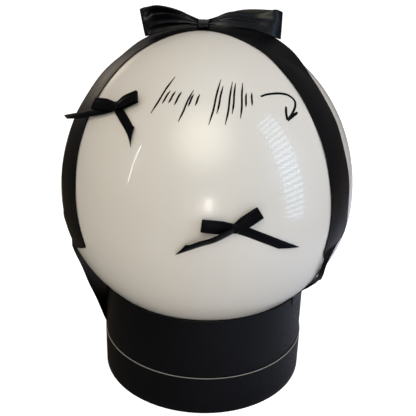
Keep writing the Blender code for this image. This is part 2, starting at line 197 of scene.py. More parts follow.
class PieceMesh:
    """Gathers the grids of one piece, with a UV map in metres and an edge value per point."""

    def __init__(self, name: str) -> None:
        """Starts an empty mesh.

        Args:
            name: The name of the piece.
        """
        self.name = name
        self.points: list[Vector] = []
        self.faces: list[tuple[int, int, int, int]] = []
        self.uvs: list[tuple[float, float]] = []
        self.edges: list[float] = []

    def add_grid(self, rows: Rows, edges: Values, wrap: bool = False) -> None:
        """Adds a grid of points as faces.

        Args:
            rows: Rows of points, along the grid, each from one edge to the other.
            edges: An edge value from 0 to 1 for each point.
            wrap: Whether each row closes on itself.
        """
        start = len(self.points)
        columns = len(rows[0])
        across = [self._running(row + row[:1] if wrap else row) for row in rows]
        middle = columns // 2
        along = self._running([row[middle] for row in rows])
        for row, values in zip(rows, edges):
            self.points.extend(row)
            self.edges.extend(values)
        for i in range(len(rows) - 1):
            for j in range(columns if wrap else columns - 1):
                corners = ((i, j), (i + 1, j), (i + 1, j + 1), (i, j + 1))
                self.faces.append(tuple(start + a * columns + b % columns for a, b in corners))
                self.uvs.extend((across[a][b], along[a]) for a, b in corners)

    @staticmethod
    def _running(points: list[Vector]) -> list[float]:
        """The distance run at each point of a line.

        Args:
            points: The points in order.

        Returns:
            A distance for each point, from 0.
        """
        run = [0.0]
        for here, there in zip(points, points[1:]):
            run.append(run[-1] + (there - here).length)
        return run

    def build(self, material: Material, crease: float = 40.0) -> Piece:
        """Makes the object.

        Args:
            material: The material of the whole piece.
            crease: The angle in degrees over which an edge stays sharp.

        Returns:
            The new object, linked to the scene.
        """
        mesh = bpy.data.meshes.new(self.name)
        mesh.from_pydata(self.points, [], self.faces)
        layer = mesh.uv_layers.new(name=UV_NAME)
        for corner, uv in zip(layer.data, self.uvs):
            corner.uv = uv
        values = mesh.attributes.new(EDGE_NAME, "FLOAT", "POINT")
        for item, value in zip(values.data, self.edges):
            item.value = value
        builder = bmesh.new()
        builder.from_mesh(mesh)
        bmesh.ops.remove_doubles(builder, verts=builder.verts, dist=SAME_POINT)
        builder.to_mesh(mesh)
        builder.free()
        mesh.shade_smooth()
        mesh.set_sharp_from_angle(angle=math.radians(crease))
        mesh.materials.append(material)
        piece = bpy.data.objects.new(self.name, mesh)
        bpy.context.scene.collection.objects.link(piece)
        return piece


def thicken(piece: Piece, thickness: float) -> None:
    """Gives a sheet its thickness, outwards from its points.

    Args:
        piece: The sheet.
        thickness: How thick it becomes.
    """
    solidify = piece.modifiers.new("thickness", "SOLIDIFY")
    solidify.thickness = thickness
    solidify.offset = 1.0
    solidify.use_even_offset = False


def place_piece(piece: Piece, node: str | None = None) -> None:
    """Lets a piece ride on the model, and hides the CAD node that it stands for.

    Args:
        piece: The piece, in place.
        node: The CAD node that it replaces, if any.
    """
    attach(piece, BODY)
    if node is not None:
        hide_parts(node)


def selvedges(rows: Rows) -> Values:
    """Edge values of a ribbon: 1 along both of its edges."""
    last = len(rows[0]) - 1
    return [[1.0 if j in (0, last) else 0.0 for j in range(last + 1)] for _ in rows]


# Shader effects and finishes


class NodeSketch:
    """Adds nodes to one node tree and links them."""

    def __init__(self, tree: NodeTree) -> None:
        """Keeps the tree that the nodes go into."""
        self.tree = tree

    def add(self, kind: str, **settings: object) -> bpy.types.Node:
        """Adds a node.

        Args:
            kind: The node's type.
            **settings: Values of its properties.

        Returns:
            The new node.
        """
        node = self.tree.nodes.new(kind)
        for name, value in settings.items():
            setattr(node, name, value)
        return node

    def feed(self, socket: Socket, value: object) -> None:
        """Gives an input its value.

        Args:
            socket: The input.
            value: A socket to link, or a plain value to set.
        """
        if isinstance(value, Socket):
            self.tree.links.new(value, socket)
        else:
            socket.default_value = value

    def maths(self, operation: str, *values: object, clamp: bool = False) -> Socket:
        """A sum, product or other function of values.

        Args:
            operation: The Math node's operation.
            *values: Its inputs in order, as sockets or numbers.
            clamp: Whether the result is kept from 0 to 1.

        Returns:
            The socket with the result.
        """
        node = self.add("ShaderNodeMath", operation=operation, use_clamp=clamp)
        for socket, value in zip(node.inputs, values):
            self.feed(socket, value)
        return node.outputs[0]

    def noise(self, vector: object, scale: object, detail: float = 2.0) -> Socket:
        """Noise from 0 to 1 over a vector.

        Args:
            vector: The place.
            scale: How many grains there are to a metre.
            detail: How many finer layers are added.

        Returns:
            The socket with the noise.
        """
        node = self.add("ShaderNodeTexNoise")
        self.feed(node.inputs["Vector"], vector)
        self.feed(node.inputs["Scale"], scale)
        node.inputs["Detail"].default_value = detail
        return node.outputs[0]

    def ramp(self, value: object, over: Span, result: Span = (0.0, 1.0)) -> Socket:
        """A smooth ramp of a value.

        Args:
            value: The value looked up.
            over: Where the ramp starts and ends.
            result: What it gives before its start and after its end.

        Returns:
            The socket with the result.
        """
        node = self.add("ShaderNodeMapRange", interpolation_type="SMOOTHSTEP")
        self.feed(node.inputs["Value"], value)
        for label, given in zip(("From Min", "From Max", "To Min", "To Max"), (*over, *result)):
            self.feed(node.inputs[label], given)
        return node.outputs[0]

    def mix_colour(self, share: object, first: object, second: object) -> Socket:
        """A mix of two colours.

        Args:
            share: How much there is of the second.
            first: A colour or a socket.
            second: A colour or a socket.

        Returns:
            The socket with the mix.
        """
        node = self.add("ShaderNodeMix", data_type="RGBA")
        for socket, value in zip((node.inputs[0], node.inputs[6], node.inputs[7]), (share, first, second)):
            self.feed(socket, (*value, 1.0) if isinstance(value, tuple) else value)
        return node.outputs[2]

    def stretched(self, vector: object, scale: tuple[float, float, float]) -> Socket:
        """A vector multiplied by a scale for each axis.

        Args:
            vector: The place.
            scale: The factor for X, Y and Z.

        Returns:
            The socket with the product.
        """
        node = self.add("ShaderNodeVectorMath", operation="MULTIPLY")
        self.feed(node.inputs[0], vector)
        node.inputs[1].default_value = scale
        return node.outputs[0]


class EffectGroup:
    """A shader node group with named inputs and outputs."""

    def __init__(self, name: str, inputs: dict[str, float | None], outputs: tuple[str, ...]) -> None:
        """Makes the group and its sockets.

        Args:
            name: The group's name.
            inputs: Each input's default, or None for a vector.
            outputs: The names of the values that it puts out.
        """
        self.tree = bpy.data.node_groups.new(name, "ShaderNodeTree")
        self.sketch = NodeSketch(self.tree)
        for label, default in inputs.items():
            kind = "NodeSocketVector" if default is None else "NodeSocketFloat"
            socket = self.tree.interface.new_socket(name=label, in_out="INPUT", socket_type=kind)
            if default is not None:
                socket.default_value = default
        for label in outputs:
            self.tree.interface.new_socket(name=label, in_out="OUTPUT", socket_type="NodeSocketFloat")
        self.given = self.sketch.add("NodeGroupInput").outputs
        self.result = self.sketch.add("NodeGroupOutput").inputs

    def put_out(self, **values: Socket) -> NodeTree:
        """Links the results, by the outputs' names.

        Args:
            **values: A socket for each output.

        Returns:
            The finished group.
        """
        for label, value in values.items():
            self.tree.links.new(value, self.result[label])
        return self.tree


def satin_weave_group() -> NodeTree:
    """Satin threads over a UV map in metres: long floats, fine ribs and a firm selvedge.

    Returns:
        The group, which puts out a height and a shade.
    """
    float_scale = (2600.0, 160.0, 1.0)
    crumple_scale = (60.0, 24.0, 1.0)
    crumple_detail = 3.0
    firm_edge = (0.55, 0.95)
    float_height, rib_height, crumple_height = 0.5, 0.25, 1.5
    float_shade, crumple_shade = 0.35, 0.65

    inputs = {"Vector": None, "Rib Pitch": 0.0005, "Edge": 0.0}
    group = EffectGroup("satin weave", inputs, ("Height", "Shade"))
    sketch, given = group.sketch, group.given
    split = sketch.add("ShaderNodeSeparateXYZ")
    sketch.feed(split.inputs[0], given["Vector"])
    turns = sketch.maths("DIVIDE", sketch.maths("MULTIPLY", split.outputs[1], TURN), given["Rib Pitch"])
    ribs = sketch.maths("MULTIPLY_ADD", sketch.maths("SINE", turns), 0.5, 0.5)
    floats = sketch.noise(sketch.stretched(given["Vector"], float_scale), 1.0)
    crumple = sketch.noise(sketch.stretched(given["Vector"], crumple_scale), 1.0, crumple_detail)
    selvedge = sketch.ramp(given["Edge"], firm_edge)
    low_ribs = sketch.maths("MULTIPLY", ribs, rib_height)
    threads = sketch.maths("MULTIPLY_ADD", floats, float_height, low_ribs)
    creases = sketch.maths("MULTIPLY_ADD", crumple, crumple_height, selvedge)
    height = sketch.maths("ADD", threads, creases)
    # The shade is lighter on the float streaks and the crumples; where a satin mixes it into its colour, it
    # is painted sheen.
    clouds = sketch.maths("MULTIPLY", crumple, crumple_shade)
    shade = sketch.maths("MULTIPLY_ADD", floats, float_shade, clouds)
    return group.put_out(Height=height, Shade=shade)


def surface_grain_group() -> NodeTree:
    """A fine tooth over a broader grain.

    Returns:
        The group, which puts out a height and a shade.
    """
    broad_detail = 4.0
    broad_height, fine_height = 0.6, 0.4

    inputs = {"Vector": None, "Fine": 1800.0, "Broad": 180.0}
    group = EffectGroup("surface grain", inputs, ("Height", "Shade"))
    sketch, given = group.sketch, group.given
    fine = sketch.noise(given["Vector"], given["Fine"])
    broad = sketch.noise(given["Vector"], given["Broad"], broad_detail)
    tooth = sketch.maths("MULTIPLY", fine, fine_height)
    height = sketch.maths("MULTIPLY_ADD", broad, broad_height, tooth)
    return group.put_out(Height=height, Shade=broad)


def soft_mottle_group() -> NodeTree:
    """Slow changes of tone over a surface.

    Returns:
        The group, which puts out a tone from 0 to 1.
    """
    cloud_detail = 3.0
    group = EffectGroup("soft mottle", {"Vector": None, "Scale": 9.0, "Contrast": 1.0}, ("Tone",))
    sketch, given = group.sketch, group.given
    cloud = sketch.noise(given["Vector"], given["Scale"], cloud_detail)
    centred = sketch.maths("MULTIPLY", sketch.maths("SUBTRACT", cloud, 0.5), given["Contrast"])
    return group.put_out(Tone=sketch.maths("ADD", centred, 0.5, clamp=True))


def handled_edge_group() -> NodeTree:
    """Wear that follows the edge values and breaks up along them.

    Returns:
        The group, which puts out the wear from 0 to 1.
    """
    patch_scale, patch_detail = 90.0, 4.0
    worn_through = (0.42, 0.95)
    group = EffectGroup("handled edge", {"Vector": None, "Edge": 0.0, "Amount": 0.5}, ("Wear",))
    sketch, given = group.sketch, group.given
    patches = sketch.noise(given["Vector"], patch_scale, patch_detail)
    reach = sketch.maths("MULTIPLY", given["Edge"], sketch.maths("ADD", patches, given["Amount"]))
    return group.put_out(Wear=sketch.ramp(reach, worn_through))


class Effects:
    """The shared shader groups, each built once."""

    def __init__(self) -> None:
        """Builds the groups."""
        self.weave = satin_weave_group()
        self.grain = surface_grain_group()
        self.mottle = soft_mottle_group()
        self.edge = handled_edge_group()


class MaterialSketch(NodeSketch):
    """A material with its Principled shader, the groups in it and a bump."""

    def __init__(self, name: str) -> None:
        """Makes the material.

        Args:
            name: The material's name.
        """
        self.material = bpy.data.materials.new(name)
        self.material.use_nodes = True
        super().__init__(self.material.node_tree)
        self.shader = self.tree.nodes["Principled BSDF"]

    def place_over(self) -> Socket:
        """The surface's own place in metres."""
        return self.add("ShaderNodeTexCoord").outputs["Object"]

    def cloth_place(self) -> Socket:
        """The place on the cut ribbon in metres."""
        return self.add("ShaderNodeUVMap", uv_map=UV_NAME).outputs[0]

    def edge_value(self) -> Socket:
        """The edge value kept on the mesh."""
        return self.add("ShaderNodeAttribute", attribute_name=EDGE_NAME).outputs["Fac"]

    def effect(self, group: NodeTree, **values: object) -> bpy.types.bpy_prop_collection:
        """Places a group.

        Args:
            group: The group.
            **values: A value or a socket for each input, an underscore standing for a space.

        Returns:
            The outputs of the placed group.
        """
        node = self.add("ShaderNodeGroup", node_tree=group)
        for label, value in values.items():
            self.feed(node.inputs[label.replace("_", " ")], value)
        return node.outputs

    def surface(
        self, colour: Socket, rough: Socket, height: Socket, bump_share: float, bump_depth: float
    ) -> Material:
        """Feeds the shader and ends the material.

        Args:
            colour: The base colour.
            rough: The roughness.
            height: The height of the bump, from 0 to 1.
            bump_share: How much of the bump shows.
            bump_depth: The bump's depth in metres.

        Returns:
            The material.
        """
        bump = self.add("ShaderNodeBump")
        bump.inputs["Strength"].default_value = bump_share
        bump.inputs["Distance"].default_value = bump_depth
        self.feed(bump.inputs["Height"], height)
        fed = {"Base Color": colour, "Roughness": rough, "Normal": bump.outputs[0]}
        for label, value in fed.items():
            self.feed(self.shader.inputs[label], value)
        return self.material

    def plain(self, **values: float | tuple[float, ...]) -> None:
        """Sets sockets of the shader, an underscore in a name standing for a space."""
        for label, value in values.items():
            self.shader.inputs[label.replace("_", " ")].default_value = value


@dataclass(frozen=True)
class PearlLatex:
    """Stretched pearl latex: a soft deep glow under a clear gloss."""

    name: str = "pearl latex"
    pearl: Colour = (0.75, 0.70, 0.625)
    shade: Colour = (0.71, 0.66, 0.585)
    gathered: Colour = (0.62, 0.55, 0.46)
    gloss: float = 0.30
    gloss_below: float = 0.01
    gloss_above: float = 0.02
    bump_share: float = 0.001
    bump_depth: float = 0.0001

    def make(self, effects: Effects) -> Material:
        """Builds the material.

        Args:
            effects: The shared shader groups.

        Returns:
            The material.
        """
        sketch = MaterialSketch(self.name)
        place = sketch.place_over()
        tone = sketch.effect(effects.mottle, Vector=place, Scale=7.0, Contrast=1.4)["Tone"]
        grain = sketch.effect(effects.grain, Vector=place, Fine=1600.0, Broad=240.0)
        colour = sketch.mix_colour(tone, self.pearl, self.shade)
        colour = sketch.mix_colour(sketch.edge_value(), colour, self.gathered)
        gloss = (self.gloss - self.gloss_below, self.gloss + self.gloss_above)
        rough = sketch.ramp(grain["Shade"], (0.2, 0.8), gloss)
        sketch.plain(Metallic=0.03, Specular_IOR_Level=0.3)
        sketch.plain(Coat_Weight=0.9, Coat_Roughness=0.03, Coat_IOR=1.5)
        return sketch.surface(colour, rough, grain["Height"], self.bump_share, self.bump_depth)


@dataclass(frozen=True)
class BlackCard:
    """Black paper wrapped over card, with its pale core showing where the paper is cut."""

    name: str
    paper: Colour = (0.0017, 0.0019, 0.0033)
    lighter: Colour = (0.0031, 0.0034, 0.0056)
    core: Colour = (0.16, 0.14, 0.12)
    gloss: float = 0.42
    gloss_below: float = 0.05
    gloss_above: float = 0.07
    worn_dulling: float = 0.25
    bump_share: float = 0.10
    bump_depth: float = 0.0002

    def make(self, effects: Effects) -> Material:
        """Builds the material.

        Args:
            effects: The shared shader groups.

        Returns:
            The material.
        """
        sketch = MaterialSketch(self.name)
        place = sketch.place_over()
        tone = sketch.effect(effects.mottle, Vector=place, Scale=14.0, Contrast=1.6)["Tone"]
        grain = sketch.effect(effects.grain, Vector=place, Fine=2400.0, Broad=260.0)
        wear = sketch.effect(effects.edge, Vector=place, Edge=sketch.edge_value(), Amount=0.55)["Wear"]
        colour = sketch.mix_colour(tone, self.paper, self.lighter)
        colour = sketch.mix_colour(wear, colour, self.core)
        gloss = (self.gloss - self.gloss_below, self.gloss + self.gloss_above)
        rough = sketch.ramp(grain["Shade"], (0.25, 0.75), gloss)
        worn = sketch.maths("MULTIPLY_ADD", wear, self.worn_dulling, rough)
        sketch.plain(Specular_IOR_Level=0.2)
        return sketch.surface(colour, worn, grain["Height"], self.bump_share, self.bump_depth)


@dataclass(frozen=True)
class Satin:
    """Black satin ribbon, with painted sheen: its colour runs lighter along the float streaks and the
    crumples.
    """

    name: str
    rib_pitch: float = 0.00055
    thread: Colour = (0.0010, 0.0011, 0.0017)
    lit: Colour = (0.0022, 0.0023, 0.0038)
    gloss: float = 0.36
    shine: float = 0.16
    gloss_change: float = 0.06
    edge_dulling: float = 0.15
    painted_sheen_share: float = 0.6
    bump_share: float = 0.35
    bump_depth: float = 0.00018

    def make(self, effects: Effects) -> Material:
        """Builds the material.

        Args:
            effects: The shared shader groups.

        Returns:
            The material.
        """
        sketch = MaterialSketch(self.name)
        place = sketch.cloth_place()
        edge = sketch.edge_value()
        weave = sketch.effect(effects.weave, Vector=place, Rib_Pitch=self.rib_pitch, Edge=edge)
        tone = sketch.effect(effects.mottle, Vector=place, Scale=30.0, Contrast=1.2)["Tone"]
        # Painted sheen: the colour runs from the thread colour to the lighter lit colour along the float
        # streaks and crumples, with random mottle tone over them.
        clouds = sketch.maths("MULTIPLY", tone, 1.0 - self.painted_sheen_share)
        share = sketch.maths("MULTIPLY_ADD", weave["Shade"], self.painted_sheen_share, clouds)
        colour = sketch.mix_colour(share, self.thread, self.lit)
        gloss = (self.gloss - self.gloss_change, self.gloss + self.gloss_change)
        rough = sketch.ramp(weave["Shade"], (0.25, 0.75), gloss)
        firm = sketch.maths("MULTIPLY_ADD", edge, self.edge_dulling, rough)
        sketch.plain(Specular_IOR_Level=self.shine)
        return sketch.surface(colour, firm, weave["Height"], self.bump_share, self.bump_depth)


@dataclass(frozen=True)
class Vinyl:
    """Thin black cut film."""

    name: str = "black vinyl film"
    film: Colour = (0.002, 0.002, 0.002)
    lighter: Colour = (0.004, 0.004, 0.004)
    gloss: Span = (0.38, 0.5)
    bump_share: float = 0.02
    bump_depth: float = 0.0001

    def make(self, effects: Effects) -> Material:
        """Builds the material.

        Args:
            effects: The shared shader groups.

        Returns:
            The material.
        """
        sketch = MaterialSketch(self.name)
        place = sketch.place_over()
        grain = sketch.effect(effects.grain, Vector=place, Fine=4000.0, Broad=600.0)
        colour = sketch.mix_colour(grain["Shade"], self.film, self.lighter)
        rough = sketch.ramp(grain["Shade"], (0.3, 0.7), self.gloss)
        sketch.plain(Specular_IOR_Level=0.12)
        return sketch.surface(colour, rough, grain["Height"], self.bump_share, self.bump_depth)


# The balloon and its box


@dataclass(frozen=True)
class BalloonForm:
    """The balloon's outer form: two half ellipsoids on one middle."""

    radius: float
    middle: float
    upper_height: float = 0.1885
    lower_height: float = 0.158

    @classmethod
    def from_frame(cls) -> "BalloonForm":
        """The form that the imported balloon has."""
        _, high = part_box("balloon")
        return cls(high.x, high.z - cls.upper_height)

    @property
    def centre(self) -> Vector:
        """The point where the two halves meet on the axis."""
        return Vector((0.0, 0.0, self.middle))

    def half_height(self, z: float) -> float:
        """The height of the half, upper or lower, that z is in."""
        return self.upper_height if z >= self.middle else self.lower_height

    def radius_at(self, z: float) -> float:
        """The radius at a height."""
        share = (z - self.middle) / self.half_height(z)
        return self.radius * math.sqrt(max(0.0, 1.0 - share * share))

    def top_at(self, x: float, y: float) -> float:
        """The height of the upper side over a point of the plan."""
        share = math.hypot(x, y) / self.radius
        return self.middle + self.upper_height * math.sqrt(1.0 - share * share)

    def normal(self, point: Vector) -> Vector:
        """The outward normal near a point.

        Args:
            point: A point on the skin or near it.

        Returns:
            A direction of length 1.
        """
        height = self.half_height(point.z)
        flat = self.radius**2
        return Vector((point.x / flat, point.y / flat, (point.z - self.middle) / height**2)).normalized()

    def skin(self, point: Vector, lift: float) -> Vector:
        """The point moved along its radius to the skin, then out by a lift.

        Args:
            point: Any point but the centre.
            lift: How far off the skin it ends up.

        Returns:
            The moved point.
        """
        offset = point - self.centre
        height = self.half_height(point.z)
        size = math.sqrt((offset.x**2 + offset.y**2) / self.radius**2 + (offset.z / height) ** 2)
        on_skin = self.centre + offset / size
        return on_skin + self.normal(on_skin) * lift

    def clear(self, point: Vector, lift: float) -> Vector:
        """The point, or the skin point under it where it would lie too near.

        Args:
            point: The point.
            lift: The least distance off the skin.

        Returns:
            A point that is clear of the balloon.
        """
        skin = self.skin(point, lift)
        outside = (point - self.centre).length >= (skin - self.centre).length
        return point if outside else skin

    def low_point(self, azimuth: float, drop: float, lift: float) -> Vector:
        """A skin point at an azimuth and a drop below the middle."""
        z = self.middle - drop
        return self.skin(at_azimuth(azimuth, self.radius_at(z), z), lift)

    def latitude_point(self, latitude: float, azimuth: float) -> Vector:
        """A point of the upper half at a latitude and an azimuth.

        Args:
            latitude: Degrees up from the balloon's middle.
            azimuth: Degrees from the front.

        Returns:
            The point on the skin.
        """
        turn = math.radians(latitude)
        z = self.middle + self.upper_height * math.sin(turn)
        return at_azimuth(azimuth, self.radius * math.cos(turn), z)


def turned_rows(profile: list[tuple[float, float]], steps: int) -> Rows:
    """Rows of points of a turned form.

    Args:
        profile: Radius and height pairs along the form's outline.
        steps: The number of points round.

    Returns:
        One ring of points for each pair.
    """
    turns = [TURN * i / steps for i in range(steps)]
    return [[Vector((r * math.cos(t), r * math.sin(t), z)) for t in turns] for r, z in profile]


@dataclass
class Balloon:
    """The inflated balloon with its tied neck, hidden in the box.

    The neck's outline is radius and drop, as shares of the neck's own radius and length. The
    latex gathers over a span of distances from where the neck starts.
    """

    form: BalloonForm
    steps: int = 160
    rings: int = 56
    neck_radius: float = 0.006
    neck_length: float = 0.016
    throat: float = 2.5
    gathering: Span = (0.006, 0.05)
    crease: float = 60.0

    NECK = (
        (1.5, 0.10), (1.0, 0.25), (0.85, 0.40), (1.2, 0.52), (1.5, 0.64), (1.5, 0.76), (1.2, 0.86),
        (0.8, 0.95), (1.0, 1.15), (1.6, 1.38), (1.95, 1.50), (2.0, 1.56), (1.9, 1.60), (1.7, 1.58),
        (1.2, 1.45), (0.0, 1.42),
    )

    def profile(self) -> tuple[list[tuple[float, float]], list[float]]:
        """The outline from the top down to the lip, and how far the latex is gathered there.

        Returns:
            Radius and height pairs, and a value from 0 to 1 for each.
        """
        form = self.form
        outline: list[tuple[float, float]] = []
        for i in range(self.rings):
            turn = math.pi / 2.0 * (1.0 - i / self.rings)
            outline.append((form.radius * math.cos(turn), form.middle + form.upper_height * math.sin(turn)))
        outline[0] = (0.0, form.middle + form.upper_height)
        last_turn = math.acos(self.throat * self.neck_radius / form.radius)
        for i in range(self.rings + 1):
            turn = last_turn * i / self.rings
            outline.append((form.radius * math.cos(turn), form.middle - form.lower_height * math.sin(turn)))
        bottom = outline[-1][1]
        outline.extend((self.neck_radius * r, bottom - self.neck_length * drop) for r, drop in self.NECK)
        gathered = [1.0 - smooth_step(*self.gathering, math.hypot(r, z - bottom)) for r, z in outline]
        return outline, gathered

    def build(self, finish: Material) -> Piece:
        """Builds the balloon.

        Args:
            finish: The latex.

        Returns:
            The piece.
        """
        outline, gathered = self.profile()
        mesh = PieceMesh("pearl_balloon")
        rows = turned_rows(outline, self.steps)
        mesh.add_grid(rows, [[value] * self.steps for value in gathered], wrap=True)
        piece = mesh.build(finish, self.crease)
        place_piece(piece, "balloon")
        return piece


@dataclass
class RoundTray:
    """A round tray of card wrapped in paper: the hat box or the lid that it stands in.

    Its profile is radius, height and edge value, from the middle of its floor inside, over the
    rim and down the wall to the middle of its underside.
    """

    name: str
    node: str
    slot: str
    wall: float
    floor: float
    rounding: float
    rim_edge: float
    corner: float = 0.0012
    inside_band: float = 0.02
    outside_band: float = 0.012
    wall_steps: int = 5
    steps: int = 192
    crease: float = 50.0

    def build(self, finish: Material) -> Piece:
        """Builds the tray on the place of its CAD node.

        Args:
            finish: The paper.

        Returns:
            The piece.
        """
        low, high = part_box(self.node)
        radius, inner = high.x, high.x - self.wall
        soft = self.rounding
        rim = high.z
        upper, lower = rim - self.outside_band, low.z + self.outside_band
        profile = [
            (0.0, low.z + self.floor, 0.0),
            (inner * 0.5, low.z + self.floor, 0.0),
            (inner - self.corner, low.z + self.floor, 0.0),
            (inner, low.z + self.floor + self.corner, 0.0),
            (inner, rim - self.inside_band, 0.0),
            (inner, rim - soft * 2.0, 0.2),
            (inner, rim - soft, self.rim_edge),
            (inner + soft * 0.3, rim - soft * 0.3, self.rim_edge),
            (inner + soft, rim, self.rim_edge),
            (radius - soft, rim, self.rim_edge),
            (radius - soft * 0.3, rim - soft * 0.3, self.rim_edge),
            (radius, rim - soft, self.rim_edge),
            (radius, rim - soft * 2.2, 0.15),
            (radius, upper, 0.0),
        ]
        for i in range(1, self.wall_steps + 1):
            profile.append((radius, upper + (lower - upper) * i / self.wall_steps, 0.0))
        profile.extend([
            (radius, low.z + soft, 0.25),
            (radius - soft * 0.3, low.z + soft * 0.3, 0.45),
            (radius - soft, low.z, 0.3),
            (radius * 0.5, low.z, 0.0),
            (0.0, low.z, 0.0),
        ])
        mesh = PieceMesh(self.name)
        rows = turned_rows([(r, z) for r, z, _ in profile], self.steps)
        mesh.add_grid(rows, [[edge] * self.steps for _, _, edge in profile], wrap=True)
        piece = mesh.build(finish, self.crease)
        place_piece(piece, self.node)
        return piece


@dataclass
class PaperLap:
    """The lap of the wrapping paper up the back of a tray."""

    name: str
    node: str
    slot: str
    width: float = 0.012
    thickness: float = 0.0002
    azimuth: float = 180.0
    inset: float = 0.0015
    columns: int = 8
    steps: int = 12

    def build(self, finish: Material) -> Piece:
        """Builds the lap on the wall of its node.

        Args:
            finish: The paper.

        Returns:
            The piece.
        """
        low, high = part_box(self.node)
        radius = high.x
        half = math.degrees(self.width / 2.0 / radius)
        azimuths = [self.azimuth + half * (2.0 * j / self.columns - 1.0) for j in range(self.columns + 1)]
        height = high.z - low.z - 2.0 * self.inset
        heights = [high.z - self.inset - height * i / self.steps for i in range(self.steps + 1)]
        rows = [[at_azimuth(azimuth, radius, z) for azimuth in azimuths] for z in heights]
        mesh = PieceMesh(self.name)
        mesh.add_grid(rows, selvedges(rows))
        piece = mesh.build(finish)
        thicken(piece, self.thickness)
        place_piece(piece)
        return piece


# Ribbon and bows


